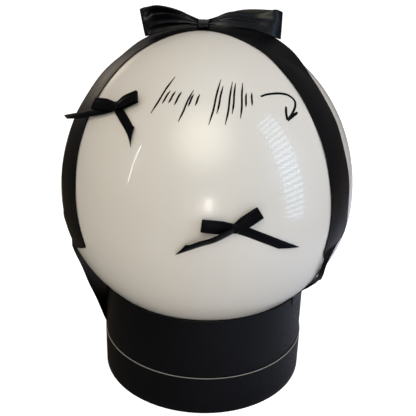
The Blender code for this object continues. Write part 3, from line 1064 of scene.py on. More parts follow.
@dataclass
class WideRibbon:
    """The wide ribbon over the balloon, from the lid on the left to the rim on the right.

    The runs over the top are latitude and azimuth of the ribbon's middle. A turn below gives
    azimuth and drop in lower half heights for its front and back edge, then its stand-off in
    ribbon widths. The straps are the azimuths of both edges where they are taped. The curl at the
    rim is how far out and up each edge is, in curls.
    """

    form: BalloonForm
    box_radius: float
    box_top: float
    lid_top: float
    width: float = 0.050
    thickness: float = 0.0004
    gap: float = 0.0003
    columns: int = 24
    spacing: float = 0.0035
    top_place: tuple[float, float] = (-0.009, 0.0095)
    taped_length: float = 0.008
    rim_tape_drop: float = 0.0025
    lid_tape_length: float = 0.002
    curl: float = 0.014
    left_rise: float = 0.002
    right_rise: float = 0.0055
    left_reach: float = 0.071
    right_reach: float = 0.088
    fold_depth: float = 0.0042
    folds: float = 3.0
    ripple: float = 0.00035
    ripples: float = 17.0
    look_along: float = 0.05
    crease: float = 60.0
    cut_length: float = 0.90

    FOLDING = (0.06, 0.75)
    PULLED_UP = (0.1, 0.4)
    LAID_DOWN = (0.9, 1.25)
    LEFT_RUN = ((67.0, -90.0), (52.0, -80.5), (36.0, -72.5), (18.0, -66.0), (0.0, -60.5))
    RIGHT_RUN = ((67.0, 70.0), (52.0, 63.5), (36.0, 60.5), (18.0, 58.7), (0.0, 57.6))
    LEFT_TURN = (
        ((-49.6, 0.1709), (-71.2, 0.1519), 0.0),
        ((-49.6, 0.1962), (-73.0, 0.1962), 0.0),
        ((-54.5, 0.2405), (-76.0, 0.2342), 0.01),
        ((-62.0, 0.2975), (-82.0, 0.2722), 0.03),
        ((-70.0, 0.3608), (-89.0, 0.3291), 0.06),
    )
    RIGHT_TURN = (
        ((48.6, 0.1203), (65.6, 0.1329), 0.0),
        ((48.4, 0.1741), (61.5, 0.1741), 0.0),
        ((49.4, 0.212), (55.5, 0.2057), 0.008),
        ((50.5, 0.2468), (52.5, 0.2437), 0.016),
        ((50.5, 0.2816), (52.1, 0.2797), 0.02),
        ((50.8, 0.319), (52.9, 0.3165), 0.024),
        ((52.0, 0.3886), (55.6, 0.3829), 0.028),
        ((54.3, 0.4684), (61.2, 0.4652), 0.036),
        ((56.0, 0.538), (68.5, 0.538), 0.048),
    )
    LEFT_STRAP = (-83.0, -106.5)
    RIGHT_STRAP = (57.0, 76.0)
    RIGHT_CURL = (
        ((0.43, 0.75), (1.0, 0.58)),
        ((0.21, 0.40), (0.62, 0.17)),
        ((0.04, 0.14), (0.19, 0.03)),
    )

    @property
    def over_solid(self) -> float:
        """How far off the balloon a thing lies that rests on the CAD solid of the ribbon."""
        return 2.0 * self.gap + SOLID_RIBBON_THICKNESS

    def clear_of_box(self, point: Vector) -> Vector:
        """The point, or moved out to the box's wall where it would lie in it.

        Args:
            point: The point.

        Returns:
            A point that is clear of the box.
        """
        reach = math.hypot(point.x, point.y)
        least = self.box_radius + self.gap
        if point.z > self.box_top or reach >= least:
            return point
        return Vector((point.x * least / reach, point.y * least / reach, point.z))

    def rise(self, x: float) -> float:
        """How far the back edge is pulled off the balloon beside the bow's knot.

        Args:
            x: The place along X.

        Returns:
            A distance in metres.
        """
        on_right = x > self.top_place[0]
        away = abs(x - self.top_place[0]) / (self.right_reach if on_right else self.left_reach)
        most = self.right_rise if on_right else self.left_rise
        return most * swell(self.PULLED_UP, self.LAID_DOWN, away)

    def top_at(self, x: float, y: float) -> float:
        """The height over the ribbon, or over a flat sheet that goes on from its edges."""
        share = 0.5 + (y - self.top_place[1]) / self.width
        return self.form.top_at(x, y) + self.over_solid + self.rise(x) * max(0.0, share)

    def edges_on_top(self) -> list[tuple[Vector, Vector]]:
        """The ribbon's edges over the balloon.

        Returns:
            Front and back points, from the balloon's middle on the left to the one on the right.
        """
        x, y = self.top_place
        places = [self.form.latitude_point(*place) for place in reversed(self.LEFT_RUN)]
        places.append(Vector((x, y, self.form.top_at(x, y))))
        places.extend(self.form.latitude_point(*place) for place in self.RIGHT_RUN)
        path = SmoothLine(places)
        edges = []
        for position in positions_along([path], self.spacing):
            middle = self.form.skin(path.at(position), self.gap)
            ahead = path.at(position + self.look_along) - path.at(position - self.look_along)
            side = self.form.normal(middle).cross(ahead).normalized() * (self.width / 2.0)
            back_lift = self.gap + self.rise(middle.x)
            front = self.form.skin(middle - side, self.gap)
            edges.append((front, self.form.skin(middle + side, back_lift)))
        return edges

    def edges_below(self, start: tuple[Vector, Vector], side: Side) -> list[tuple[Vector, Vector]]:
        """Front and back edge below the balloon's middle on one side.

        Args:
            start: The edges where the run over the top ends.
            side: The side of the balloon.

        Returns:
            The edges from there down to the taped end.
        """
        turn = self.LEFT_TURN if side is Side.LEFT else self.RIGHT_TURN
        fronts, backs = [start[0]], [start[1]]
        for front, back, lift in turn:
            for points, (azimuth, drop) in ((fronts, front), (backs, back)):
                stand_off = self.gap + lift * self.width
                points.append(self.form.low_point(azimuth, drop * self.form.lower_height, stand_off))
        wall = self.box_radius + self.gap
        if side is Side.LEFT:
            azimuths = self.LEFT_STRAP
            end = self.lid_top + self.gap
            pairs = [((wall, z), (wall, z)) for z in (end + self.lid_tape_length, end)]
        else:
            azimuths = self.RIGHT_STRAP
            end = self.box_top - self.rim_tape_drop
            pairs = [
                tuple((wall + out * self.curl, self.box_top + up * self.curl) for out, up in shares)
                for shares in self.RIGHT_CURL
            ]
            pairs.extend(((wall, z), (wall, z)) for z in (end, end - self.taped_length))
        for front, back in pairs:
            fronts.append(at_azimuth(azimuths[0], *front))
            backs.append(at_azimuth(azimuths[1], *back))
        lines = [SmoothLine(fronts), SmoothLine(backs)]
        return [(lines[0].at(p), lines[1].at(p)) for p in positions_along(lines, self.spacing)[1:]]

    def row(self, front: Vector, back: Vector, run: float) -> list[Vector]:
        """A row of points across the ribbon, with the folds that its spare width makes.

        Args:
            front: The front edge's point.
            back: The back edge's point.
            run: The share of the ribbon's length up to here.

        Returns:
            The points from front to back.
        """
        spare = max(0.0, 1.0 - (back - front).length / self.width)
        out = self.form.normal((front + back) / 2.0)
        fold = self.fold_depth * smooth_step(*self.FOLDING, spare)
        points = []
        for j in range(self.columns + 1):
            share = j / self.columns
            wave = 0.5 - 0.5 * math.cos(TURN * self.folds * share)
            pleat = fold * wave * math.sin(math.pi * share) ** 0.5
            near_edge = abs(2.0 * share - 1.0) ** 3
            ripple = self.ripple * near_edge * (1.0 + math.sin(TURN * self.ripples * run + 2.0 * share))
            point = front.lerp(back, share) + out * (pleat + ripple)
            points.append(self.clear_of_box(self.form.clear(point, self.gap + ripple + pleat)))
        return points

    def build(self, finish: Material) -> Piece:
        """Builds the ribbon.

        Args:
            finish: The satin.

        Returns:
            The piece.
        """
        top = self.edges_on_top()
        left = self.edges_below(top[0], Side.LEFT)
        right = self.edges_below(top[-1], Side.RIGHT)
        edges = left[::-1] + top + right
        rows = [self.row(front, back, i / len(edges)) for i, (front, back) in enumerate(edges)]
        mesh = PieceMesh("wide_ribbon")
        mesh.add_grid(rows, selvedges(rows))
        piece = mesh.build(finish, self.crease)
        thicken(piece, self.thickness)
        place_piece(piece, "ribbon_band")
        return piece


def add_knot(mesh: PieceMesh, size: tuple[float, float, float], axes: Matrix, pleats: float) -> None:
    """Adds a knot's wrap, a tube along its first axis.

    Args:
        mesh: The bow that it belongs to.
        size: The knot's width, depth and height.
        axes: Where it sits and how it is turned.
        pleats: How many folds run round it.
    """
    steps, around = 20, 40
    end_taper, pleat_depth, squareness = 0.22, 0.045, 0.75
    width, depth, height = size
    rows = []
    for i in range(steps + 1):
        share = 2.0 * i / steps - 1.0
        waist = 1.0 - end_taper * abs(share) ** 5 + pleat_depth * math.cos(math.pi * pleats * share)
        ring = []
        for j in range(around):
            turn = TURN * j / around
            across = -math.copysign(abs(math.cos(turn)) ** squareness, math.cos(turn))
            up = math.copysign(abs(math.sin(turn)) ** squareness, math.sin(turn))
            spot = Vector((share * width / 2.0, across * depth / 2.0 * waist, up * height / 2.0 * waist))
            ring.append(axes @ spot)
        rows.append(ring)
    mesh.add_grid(rows, [[0.0] * around for _ in rows], wrap=True)


@dataclass(frozen=True)
class LoopShape:
    """A wide loop's edges from the knot, round the tip and back, and its soft folds.

    Each station is a share of the reach, then Y and the height over the ribbon in ribbon widths.
    The hollow, the ridge and the lip are in metres.
    """

    reach: float
    lower: tuple[tuple[float, float, float], ...]
    upper: tuple[tuple[float, float, float], ...]
    hollow: float
    ridge: float
    lip: float


@dataclass
class WideBow:
    """The wide bow on top of the balloon."""

    ribbon: WideRibbon
    knot: tuple[float, float, float] = (0.013, 0.034, 0.006)
    knot_y: float = 0.002
    thickness: float = 0.0005
    count: int = 84
    columns: int = 24
    pleats: float = 3.0
    back_bulge: float = 0.0012
    gather_depth: float = 0.0011
    gathers: float = 1.4
    gather_start: float = 0.4
    gather_drop: float = 0.25
    gather_fade: float = 6.0
    crease: float = 60.0
    cut_length: float = 0.20

    FRONT_END = (0.44, 0.56)
    BOWL = (0.30, 1.0)
    HOLLOW_SPAN = ((0.25, 0.62), (0.80, 0.99))
    LIP_SPAN = ((0.08, 0.4), (0.7, 0.95))
    LIP_PLACE = (0.36, 0.12)
    RIDGE_SPAN = ((0.1, 0.4), (0.6, 0.95))
    RIDGE_PLACE = (0.60, 0.10)
    RIDGE_SLOPE = 0.1
    LOOPS = {
        Side.LEFT: LoopShape(
            reach=0.071,
            lower=(
                (0.06, -0.1, 0.05), (0.3, -0.06, 0.04), (0.62, 0.0, 0.04), (0.86, 0.06, 0.06),
                (0.915, 0.22, 0.08), (0.84, 0.46, 0.1), (0.45, 0.52, 0.056), (0.06, 0.3, 0.05),
            ),
            upper=(
                (0.06, -0.06, 0.13), (0.36, 0.12, 0.37), (0.72, 0.24, 0.62), (0.97, 0.34, 0.71),
                (1.01, 0.42, 0.72), (0.93, 0.54, 0.7), (0.48, 0.56, 0.41), (0.06, 0.3, 0.13),
            ),
            hollow=0.0075,
            ridge=0.0,
            lip=0.0045,
        ),
        Side.RIGHT: LoopShape(
            reach=0.088,
            lower=(
                (0.06, -0.1, 0.05), (0.3, -0.12, 0.05), (0.65, -0.02, 0.08), (0.9, 0.03, 0.09),
                (0.985, 0.2, 0.1), (0.9, 0.5, 0.1), (0.45, 0.52, 0.056), (0.06, 0.3, 0.05),
            ),
            upper=(
                (0.06, -0.06, 0.13), (0.33, 0.12, 0.3), (0.67, 0.26, 0.38), (0.9, 0.3, 0.64),
                (1.0, 0.42, 0.68), (0.92, 0.56, 0.62), (0.48, 0.56, 0.33), (0.06, 0.3, 0.13),
            ),
            hollow=0.0015,
            ridge=0.0026,
            lip=0.0,
        ),
    }

    @property
    def middle_x(self) -> float:
        """Where the knot sits along X."""
        return self.ribbon.top_place[0]

    def edge_line(self, side: Side, stations: tuple[tuple[float, float, float], ...]) -> SmoothLine:
        """One edge of a loop as a smooth line.

        Args:
            side: Which loop.
            stations: The edge's stations, as a LoopShape has them.

        Returns:
            The line from the knot, round the tip and back.
        """
        width = self.ribbon.width
        points = []
        for share, across, height in stations:
            x = self.middle_x + side.value * share * self.LOOPS[side].reach
            y = across * width
            points.append(Vector((x, y, self.ribbon.top_at(x, y) + height * width)))
        return SmoothLine(points)

    def dent(self, shape: LoopShape, share: float, away: float, front: float) -> float:
        """How far the satin is pressed in from the flat sheet between the loop's edges.

        Args:
            shape: The loop's shape.
            share: The place from the lower edge to the upper one, from 0 to 1.
            away: The place from the knot to the tip, from 0 to 1.
            front: How much this row is on the loop's front, from 0 to 1.

        Returns:
            A distance along Y in metres.
        """
        bowl = math.sin(math.pi * smooth_step(*self.BOWL, share))
        hollow = shape.hollow * bowl * swell(*self.HOLLOW_SPAN, away)
        lip = shape.lip * crest(share, *self.LIP_PLACE) * swell(*self.LIP_SPAN, away)
        middle, width = self.RIDGE_PLACE
        fold = crest(share, middle - self.RIDGE_SLOPE * away, width)
        ridge = shape.ridge * fold * swell(*self.RIDGE_SPAN, away)
        bulge = self.back_bulge * math.sin(math.pi * share)
        return (hollow - ridge - lip) * front - bulge * (1.0 - front)

    def loop_rows(self, side: Side) -> Rows:
        """Rows of a loop from the knot, round the tip and back.

        Args:
            side: Which loop.

        Returns:
            Rows of points, each across the ribbon.
        """
        shape = self.LOOPS[side]
        lower = self.edge_line(side, shape.lower)
        upper = self.edge_line(side, shape.upper)
        rows = []
        for i in range(self.count + 1):
            run = i / self.count
            low, high = lower.share(run), upper.share(run)
            front = 1.0 - smooth_step(*self.FRONT_END, run)
            row = []
            for j in range(self.columns + 1):
                share = j / self.columns
                point = low.lerp(high, share)
                away = abs(point.x - self.middle_x) / shape.reach
                wave = math.cos(TURN * self.gathers * share + self.gather_start)
                gather = self.gather_depth * wave * math.exp(-self.gather_fade * away)
                inwards = self.dent(shape, share, away, front)
                row.append(point + Vector((0.0, inwards + gather, -self.gather_drop * gather)))
            rows.append(row if side is Side.RIGHT else row[::-1])
        return rows

    def build(self, finish: Material) -> Piece:
        """Builds the bow.

        Args:
            finish: The satin.

        Returns:
            The piece.
        """
        mesh = PieceMesh("wide_bow")
        for side in Side:
            rows = self.loop_rows(side)
            mesh.add_grid(rows, selvedges(rows))
        floor = self.ribbon.top_at(self.middle_x, 0.0)
        axes = Matrix.Translation((self.middle_x, self.knot_y, floor + self.knot[2] / 2.0))
        add_knot(mesh, self.knot, axes, self.pleats)
        piece = mesh.build(finish, self.crease)
        thicken(piece, self.thickness)
        place_piece(piece, "top_bow")
        return piece


@dataclass(frozen=True)
class Loop:
    """A narrow loop: its angle, then its length and its tip's stand-off in tail widths."""

    angle: float
    length: float
    tip_lift: float


@dataclass(frozen=True)
class Tail:
    """A narrow tail: places right and up of the knot with their stand-off, and the cut's slant.

    All are in tail widths. The slant is positive where the left side of the run is longer.
    The turn, in degrees, stands the side on the right of its run off the balloon.
    """

    path: tuple[tuple[float, float, float], ...]
    slant: float
    turn: float = 0.0


@dataclass
class NarrowBow:
    """A narrow satin bow lying on the balloon.

    A loop's lower run is shares of its length, and its upper run adds a height in puffs to each.
    """

    name: str
    node: str
    form: BalloonForm
    azimuth: float
    rise: float
    lift: float
    loops: tuple[Loop, ...]
    tails: tuple[Tail, ...]
    cut_length: float
    loop_width: float = 0.012
    tail_width: float = 0.0095
    thickness: float = 0.0003
    puff: float = 0.0045
    tip_radius: float = 0.0014
    loop_lift: float = 0.0008
    least_lift: float = 0.0001
    pinch: float = 0.72
    pinch_end: float = 0.45
    loop_crown: float = 0.0005
    crown_waves: float = 0.75
    crown_fade: float = 0.6
    tail_crown: float = 0.0007
    look_along: float = 0.1
    pleats: float = 3.0
    loop_steps: int = 60
    tip_steps: int = 8
    tail_steps: int = 48
    columns: int = 8
    crease: float = 60.0
    cut_width: float = 0.010
    knot: tuple[float, float, float] = (0.0085, 0.0095, 0.0055)

    LOWER_RUN = (0.0, 0.2, 0.4, 0.6, 0.8)
    UPPER_RUN = ((0.8, 1.02), (0.6, 1.08), (0.4, 1.05), (0.2, 0.86), (0.0, 0.72))
    LAID_FLAT = (0.7, 1.25)

    def __post_init__(self) -> None:
        """Works out the bow's own axes on the skin."""
        self.place = self.form.low_point(self.azimuth, -self.rise, 0.0)
        self.out = self.form.normal(self.place)
        turn = math.radians(self.azimuth)
        self.right = Vector((math.cos(turn), math.sin(turn), 0.0))
        self.up = self.out.cross(self.right)

    def laid(self, u: float, v: float, lift: float) -> Vector:
        """The point over the skin that lies right by u and up by v of the knot."""
        return self.form.skin(self.place + self.right * u + self.up * v, lift + self.lift)

    def loop_rows(self, loop: Loop) -> Rows:
        """Rows of a flat loop: out along the skin, round the tip and back over itself.

        Args:
            loop: The loop.

        Returns:
            Rows of points, each across the ribbon.
        """
        turn = math.radians(loop.angle)
        length = loop.length * self.tail_width
        tip_lift = loop.tip_lift * self.tail_width
        stations = [(share * length, self.loop_lift + tip_lift * share) for share in self.LOWER_RUN]
        middle = self.puff / 2.0 + self.loop_lift + tip_lift
        for step in range(self.tip_steps + 1):
            bend = math.radians(180.0 * step / self.tip_steps - 90.0)
            reach = length - self.tip_radius + self.tip_radius * math.cos(bend)
            stations.append((reach, middle + self.puff / 2.0 * math.sin(bend)))
        for share, puffs in self.UPPER_RUN:
            stations.append((share * length, self.loop_lift + self.puff * puffs + tip_lift * share))
        line = SmoothLine([Vector((reach, lift, 0.0)) for reach, lift in stations])
        rows = []
        for i in range(self.loop_steps + 1):
            spot = line.share(i / self.loop_steps)
            away = spot.x / length
            opened = self.pinch + (1.0 - self.pinch) * smooth_step(0.0, self.pinch_end, away)
            half = self.loop_width / 2.0 * opened
            on_top = 2 * i > self.loop_steps
            crown = self.loop_crown * (1.0 - self.crown_fade * away) if on_top else 0.0
            row = []
            for j in range(self.columns + 1):
                share = 2.0 * j / self.columns - 1.0
                side = half * share
                lift = spot.y + crown * math.cos(TURN * self.crown_waves * share)
                u = spot.x * math.cos(turn) - side * math.sin(turn)
                v = spot.x * math.sin(turn) + side * math.cos(turn)
                row.append(self.laid(u, v, max(self.least_lift, lift)))
            rows.append(row)
        return rows

    def tail_rows(self, tail: Tail) -> Rows:
        """Rows of a tail along the skin, its end cut on a slant.

        Args:
            tail: The tail.

        Returns:
            Rows of points, each across the ribbon.
        """
        line = SmoothLine([Vector(place) * self.tail_width for place in tail.path])
        half = self.tail_width / 2.0
        slant = tail.slant * self.tail_width
        longer = math.copysign(1.0, slant)
        rows = []
        for i in range(self.tail_steps + 1):
            run = i / self.tail_steps
            position = line.last * i / self.tail_steps
            middle = line.at(position)
            ahead = line.at(position + self.look_along) - line.at(position - self.look_along)
            ahead.z = 0.0
            ahead.normalize()
            sideways = Vector((-ahead.y, ahead.x, 0.0))
            turn = math.radians(tail.turn) * (1.0 - smooth_step(*self.LAID_FLAT, run))
            row = []
            for j in range(self.columns + 1):
                side = 2.0 * j / self.columns - 1.0
                cut = abs(slant) * (1.0 - side * longer) / 2.0 * run**3
                spot = middle + sideways * (side * half * math.cos(turn)) - ahead * cut
                crown = self.tail_crown * (1.0 - side * side)
                stand = half * (1.0 - side) * math.sin(turn)
                row.append(self.laid(spot.x, spot.y, middle.z + crown + stand))
            rows.append(row)
        return rows

    def build(self, finish: Material) -> Piece:
        """Builds the bow.

        Args:
            finish: The satin.

        Returns:
            The piece.
        """
        mesh = PieceMesh(self.name)
        for rows in [*map(self.loop_rows, self.loops), *map(self.tail_rows, self.tails)]:
            mesh.add_grid(rows, selvedges(rows))
        axes = Matrix((self.right, self.up, self.out)).transposed().to_4x4()
        centre = self.place + self.out * (self.lift + self.knot[2] / 2.0)
        add_knot(mesh, self.knot, Matrix.Translation(centre) @ axes, self.pleats)
        piece = mesh.build(finish, self.crease)
        thicken(piece, self.thickness)
        place_piece(piece, self.node)
        return piece


@dataclass(frozen=True)
class Stroke:
    """A stroke of film: its places in degrees and metres, its width and what is left at each end."""

    path: tuple[tuple[float, float], ...]
    width: float
    start_share: float = 0.35
    end_share: float = 0.35


@dataclass
class FilmMarks:
    """A row of plain leaning strokes and a curved arrow, cut from thin film on the balloon.

    Each mark is the azimuth and height of its foot, then how tall it is. Marks lean by degrees
    for each metre of their height, along bends that are shares of lean and height.
    """

    form: BalloonForm
    thickness: float = 0.00015
    lift: float = 0.0001
    mark_width: float = 0.0019
    lean: float = 5.2 / 0.03
    taper: float = 0.25
    look_along: float = 0.02
    steps: int = 8

    BENDS = ((0.0, 0.0), (0.30, 0.33), (0.55, 0.66), (1.0, 1.0))
    ARROW = (
        Stroke(
            (
                (26.1, 0.3784), (29.9, 0.3795), (34.4, 0.3794), (38.5, 0.3786), (42.3, 0.3765),
                (44.3, 0.3734), (44.8, 0.3700), (43.6, 0.3666), (41.7, 0.3637), (38.9, 0.3602),
                (35.9, 0.3567),
            ),
            width=0.0026, start_share=0.8, end_share=0.9,
        ),
        Stroke(
            ((37.9, 0.3676), (36.4, 0.3625), (35.7, 0.3566)),
            width=0.0028, start_share=0.7, end_share=1.0,
        ),
        Stroke(
            ((43.1, 0.3610), (39.6, 0.3592), (35.7, 0.3566)),
            width=0.0032, start_share=0.6, end_share=1.0,
        ),
    )
    MARKS = (
        (-26.0, 0.362, 0.031), (-22.2, 0.371, 0.011), (-19.2, 0.372, 0.010), (-16.2, 0.371, 0.011),
        (-12.8, 0.358, 0.026), (-9.6, 0.371, 0.010), (-6.4, 0.372, 0.009),
        (0.0, 0.357, 0.036), (3.4, 0.366, 0.022), (6.8, 0.357, 0.034), (10.2, 0.366, 0.024),
        (13.6, 0.362, 0.028), (17.0, 0.371, 0.011), (20.2, 0.372, 0.010),
    )

    def strokes(self) -> list[Stroke]:
        """All strokes.

        Returns:
            The row of leaning marks and the arrow's strokes.
        """
        made = []
        for azimuth, foot, height in self.MARKS:
            lean = self.lean * height
            path = tuple((azimuth + lean * across, foot + height * up) for across, up in self.BENDS)
            made.append(Stroke(path, self.mark_width))
        return made + list(self.ARROW)

    def build(self, finish: Material) -> Piece:
        """Builds the marks.

        Args:
            finish: The film.

        Returns:
            The piece.
        """
        mesh = PieceMesh("film_marks")
        for stroke in self.strokes():
            line = SmoothLine([at_azimuth(a, self.form.radius_at(z), z) for a, z in stroke.path])
            count = self.steps * line.last
            rows = []
            for i in range(count + 1):
                share = i / count
                middle = self.form.skin(line.share(share), self.lift)
                before, after = max(0.0, share - self.look_along), min(1.0, share + self.look_along)
                ahead = line.share(after) - line.share(before)
                side = self.form.normal(middle).cross(ahead).normalized()
                started = smooth_step(0.0, self.taper, share)
                ending = 1.0 - smooth_step(1.0 - self.taper, 1.0, share)
                fullness = min(
                    stroke.start_share + (1.0 - stroke.start_share) * started,
                    stroke.end_share + (1.0 - stroke.end_share) * ending,
                )
                half = stroke.width / 2.0 * fullness
                rows.append([self.form.skin(middle + side * half * s, self.lift) for s in (-1.0, 0.0, 1.0)])
            mesh.add_grid(rows, selvedges(rows))
        piece = mesh.build(finish)
        thicken(piece, self.thickness)
        place_piece(piece)
        return piece


# Studio


class Reach(Enum):
    """What a lamp is for: everything, the tones alone, or the mirrored shapes alone."""

    ALL = "all"
    TONES = "tones"
    MIRRORED = "mirrored"


@dataclass(frozen=True)
class StudioLamp:
    """An area lamp aimed at a point of the balloon, placed by degrees and metres from it."""

    name: str
    target: tuple[float, float, float]
    azimuth: float
    elevation: float
    distance: float
    size: Span
    power: float
    colour: Colour
    soft_edge: bool = False
    slats: int = 0
    reach: Reach = Reach.ALL


@dataclass
class Studio:
    """The camera, the lamps, the pale floor and the even light around them.

    The focal share is the lens over the picture's width, and the camera's angles are in degrees.
    The floor's two mirrored tones blend over spans of its X, and the right one falls back to a
    share of itself beyond the set.
    """

    sensor: float = 36.0
    focal_share: float = 700.0 / 416.0
    camera_place: tuple[float, float, float] = (0.0, -0.7863, 0.5566)
    looks_down: float = 23.7981
    looks_right: float = 0.1527
    tips_left: float = 1.7169
    nearest: float = 0.01
    floor_reach: float = 30.0
    floor_roughness: float = 0.8
    floor_glow: float = 0.72
    air_light: float = 0.50
    air_in_gloss: float = 0.16

    AIR = (1.0, 0.94, 0.92)
    FLOOR = (0.86, 0.86, 0.85)
    FLOOR_LEFT_IN_GLOSS = (0.13, 0.11, 0.085)
    FLOOR_RIGHT_IN_GLOSS = (0.57, 0.59, 0.69)
    GLOSS_BLEND = (-0.20, 0.36)
    GLOSS_FALL = (0.42, 0.72)
    GLOSS_LEFT_OVER = 0.1
    SLAT_EDGE = (-0.1, 0.4)
    SLAT_LIGHT = (0.1, 2.1)
    FADE = (0.06, 0.5)
    FADE_LIGHT = (2.6, 0.0)
    WHITE = (1.0, 1.0, 1.0, 1.0)
    LAMPS = (
        StudioLamp(
            "warm_lamp", (-0.008, -0.143, 0.344), azimuth=-6.0, elevation=47.0, distance=1.7,
            size=(2.1, 2.1), power=16.5, colour=(1.0, 0.98, 0.82), soft_edge=True,
        ),
        StudioLamp(
            "overhead", (0.0, 0.0, 0.3), azimuth=10.0, elevation=80.0, distance=2.2,
            size=(3.0, 3.0), power=6.8, colour=(0.80, 0.92, 1.0), soft_edge=True,
        ),
        StudioLamp(
            "right_fill", (0.1, -0.1, 0.25), azimuth=60.0, elevation=20.0, distance=2.2,
            size=(1.6, 1.4), power=21.0, colour=(0.34, 0.58, 1.0), soft_edge=True,
            reach=Reach.TONES,
        ),
        StudioLamp(
            "right_side", (0.12, 0.0, 0.25), azimuth=118.0, elevation=14.0, distance=1.8,
            size=(1.2, 1.2), power=14.0, colour=(1.0, 0.95, 0.88), soft_edge=True,
            reach=Reach.TONES,
        ),
        StudioLamp(
            "left_sheen", (-0.17, 0.0, 0.28), azimuth=-148.0, elevation=16.0, distance=1.6,
            size=(0.9, 0.9), power=2.4, colour=(1.0, 0.84, 0.68), soft_edge=True,
            reach=Reach.MIRRORED,
        ),
        StudioLamp(
            "front_pane", (0.002, -0.167, 0.287), azimuth=1.5, elevation=3.6, distance=1.5,
            size=(0.15, 0.21), power=0.45, colour=(1.0, 0.98, 0.92), reach=Reach.MIRRORED,
        ),
        StudioLamp(
            "front_glow", (0.002, -0.167, 0.287), azimuth=1.0, elevation=2.0, distance=1.6,
            size=(0.75, 0.75), power=2.0, colour=(1.0, 0.96, 0.86), soft_edge=True,
            reach=Reach.MIRRORED,
        ),
        StudioLamp(
            "slatted_window", (0.085, -0.130, 0.31), azimuth=67.5, elevation=18.0, distance=1.0,
            size=(0.33, 1.34), power=2.8, colour=(0.50, 0.74, 1.0), slats=20,
            reach=Reach.MIRRORED,
        ),
        StudioLamp(
            "left_gap", (-0.073, -0.140, 0.318), azimuth=-61.3, elevation=18.0, distance=1.5,
            size=(0.022, 0.62), power=0.6, colour=(0.80, 0.92, 1.0), reach=Reach.MIRRORED,
        ),
    )

    def camera(self) -> None:
        """Sets the camera to the photograph's own place, angle and lens."""
        data = bpy.data.cameras.new("camera")
        data.lens = self.focal_share * self.sensor
        data.sensor_width = self.sensor
        data.clip_start = self.nearest
        view = bpy.data.objects.new("camera", data)
        heading = Matrix.Rotation(-math.radians(self.looks_right), 4, "Z")
        dip = Matrix.Rotation(math.radians(90.0 - self.looks_down), 4, "X")
        tip = Matrix.Rotation(math.radians(self.tips_left), 4, "Z")
        view.matrix_world = Matrix.Translation(self.camera_place) @ heading @ dip @ tip
        bpy.context.scene.collection.objects.link(view)
        bpy.context.scene.camera = view

    def lamp(self, lamp: StudioLamp) -> None:
        """Adds a lamp, with a soft edge or slats over it.

        Args:
            lamp: The lamp.
        """
        data = bpy.data.lights.new(lamp.name, "AREA")
        data.shape = "RECTANGLE"
        data.size, data.size_y = lamp.size
        data.energy = lamp.power
        data.color = lamp.colour
        if lamp.soft_edge or lamp.slats:
            self.pattern(data, lamp)
        thing = bpy.data.objects.new(lamp.name, data)
        azimuth, elevation = math.radians(lamp.azimuth), math.radians(lamp.elevation)
        away = Vector((
            math.sin(azimuth) * math.cos(elevation),
            -math.cos(azimuth) * math.cos(elevation),
            math.sin(elevation),
        ))
        thing.location = Vector(lamp.target) + away * lamp.distance
        thing.rotation_mode = "QUATERNION"
        thing.rotation_quaternion = (-away).to_track_quat("-Z", "Y")
        thing.visible_camera = False
        thing.visible_diffuse = lamp.reach is not Reach.MIRRORED
        thing.visible_glossy = lamp.reach is not Reach.TONES
        bpy.context.scene.collection.objects.link(thing)

    def pattern(self, data: bpy.types.Light, lamp: StudioLamp) -> None:
        """Fades a lamp towards its edges, or cuts it into slats.

        Args:
            data: The light's own settings.
            lamp: The lamp.
        """
        data.use_nodes = True
        sketch = NodeSketch(data.node_tree)
        emission = data.node_tree.nodes["Emission"]
        split = sketch.add("ShaderNodeSeparateXYZ")
        sketch.feed(split.inputs[0], sketch.add("ShaderNodeNewGeometry").outputs["Parametric"])
        if lamp.slats:
            turns = sketch.maths("MULTIPLY", split.outputs[1], TURN * lamp.slats)
            strength = sketch.ramp(sketch.maths("SINE", turns), self.SLAT_EDGE, self.SLAT_LIGHT)
        else:
            offsets = [sketch.maths("SUBTRACT", split.outputs[axis], 0.5) for axis in (0, 1)]
            squares = [sketch.maths("MULTIPLY", offset, offset) for offset in offsets]
            away = sketch.maths("SQRT", sketch.maths("ADD", *squares))
            strength = sketch.ramp(away, self.FADE, self.FADE_LIGHT)
        sketch.feed(emission.inputs["Strength"], strength)

    def floor(self) -> None:
        """Adds the plain pale floor."""
        mesh = bpy.data.meshes.new("floor")
        reach = self.floor_reach
        corners = [(x * reach, y * reach, 0.0) for x, y in ((-1, -1), (1, -1), (1, 1), (-1, 1))]
        mesh.from_pydata(corners, [], [(0, 1, 2, 3)])
        material = bpy.data.materials.new("pale floor")
        material.use_nodes = True
        sketch = NodeSketch(material.node_tree)
        shader = material.node_tree.nodes["Principled BSDF"]
        ray = sketch.add("ShaderNodeLightPath").outputs
        across = sketch.add("ShaderNodeSeparateXYZ")
        sketch.feed(across.inputs[0], sketch.add("ShaderNodeNewGeometry").outputs["Position"])
        near = sketch.ramp(across.outputs[0], self.GLOSS_BLEND)
        far = sketch.ramp(across.outputs[0], self.GLOSS_FALL, (1.0, self.GLOSS_LEFT_OVER))
        share = sketch.maths("MULTIPLY", near, far)
        mirrored = sketch.mix_colour(share, self.FLOOR_LEFT_IN_GLOSS, self.FLOOR_RIGHT_IN_GLOSS)
        colour = sketch.mix_colour(ray["Is Glossy Ray"], self.FLOOR, mirrored)
        sketch.feed(shader.inputs["Base Color"], colour)
        shader.inputs["Roughness"].default_value = self.floor_roughness
        shader.inputs["Specular IOR Level"].default_value = 0.0
        shader.inputs["Emission Color"].default_value = self.WHITE
        glow = sketch.maths("MULTIPLY", ray["Is Camera Ray"], self.floor_glow)
        sketch.feed(shader.inputs["Emission Strength"], glow)
        mesh.materials.append(material)
        floor = bpy.data.objects.new("floor", mesh)
        bpy.context.scene.collection.objects.link(floor)

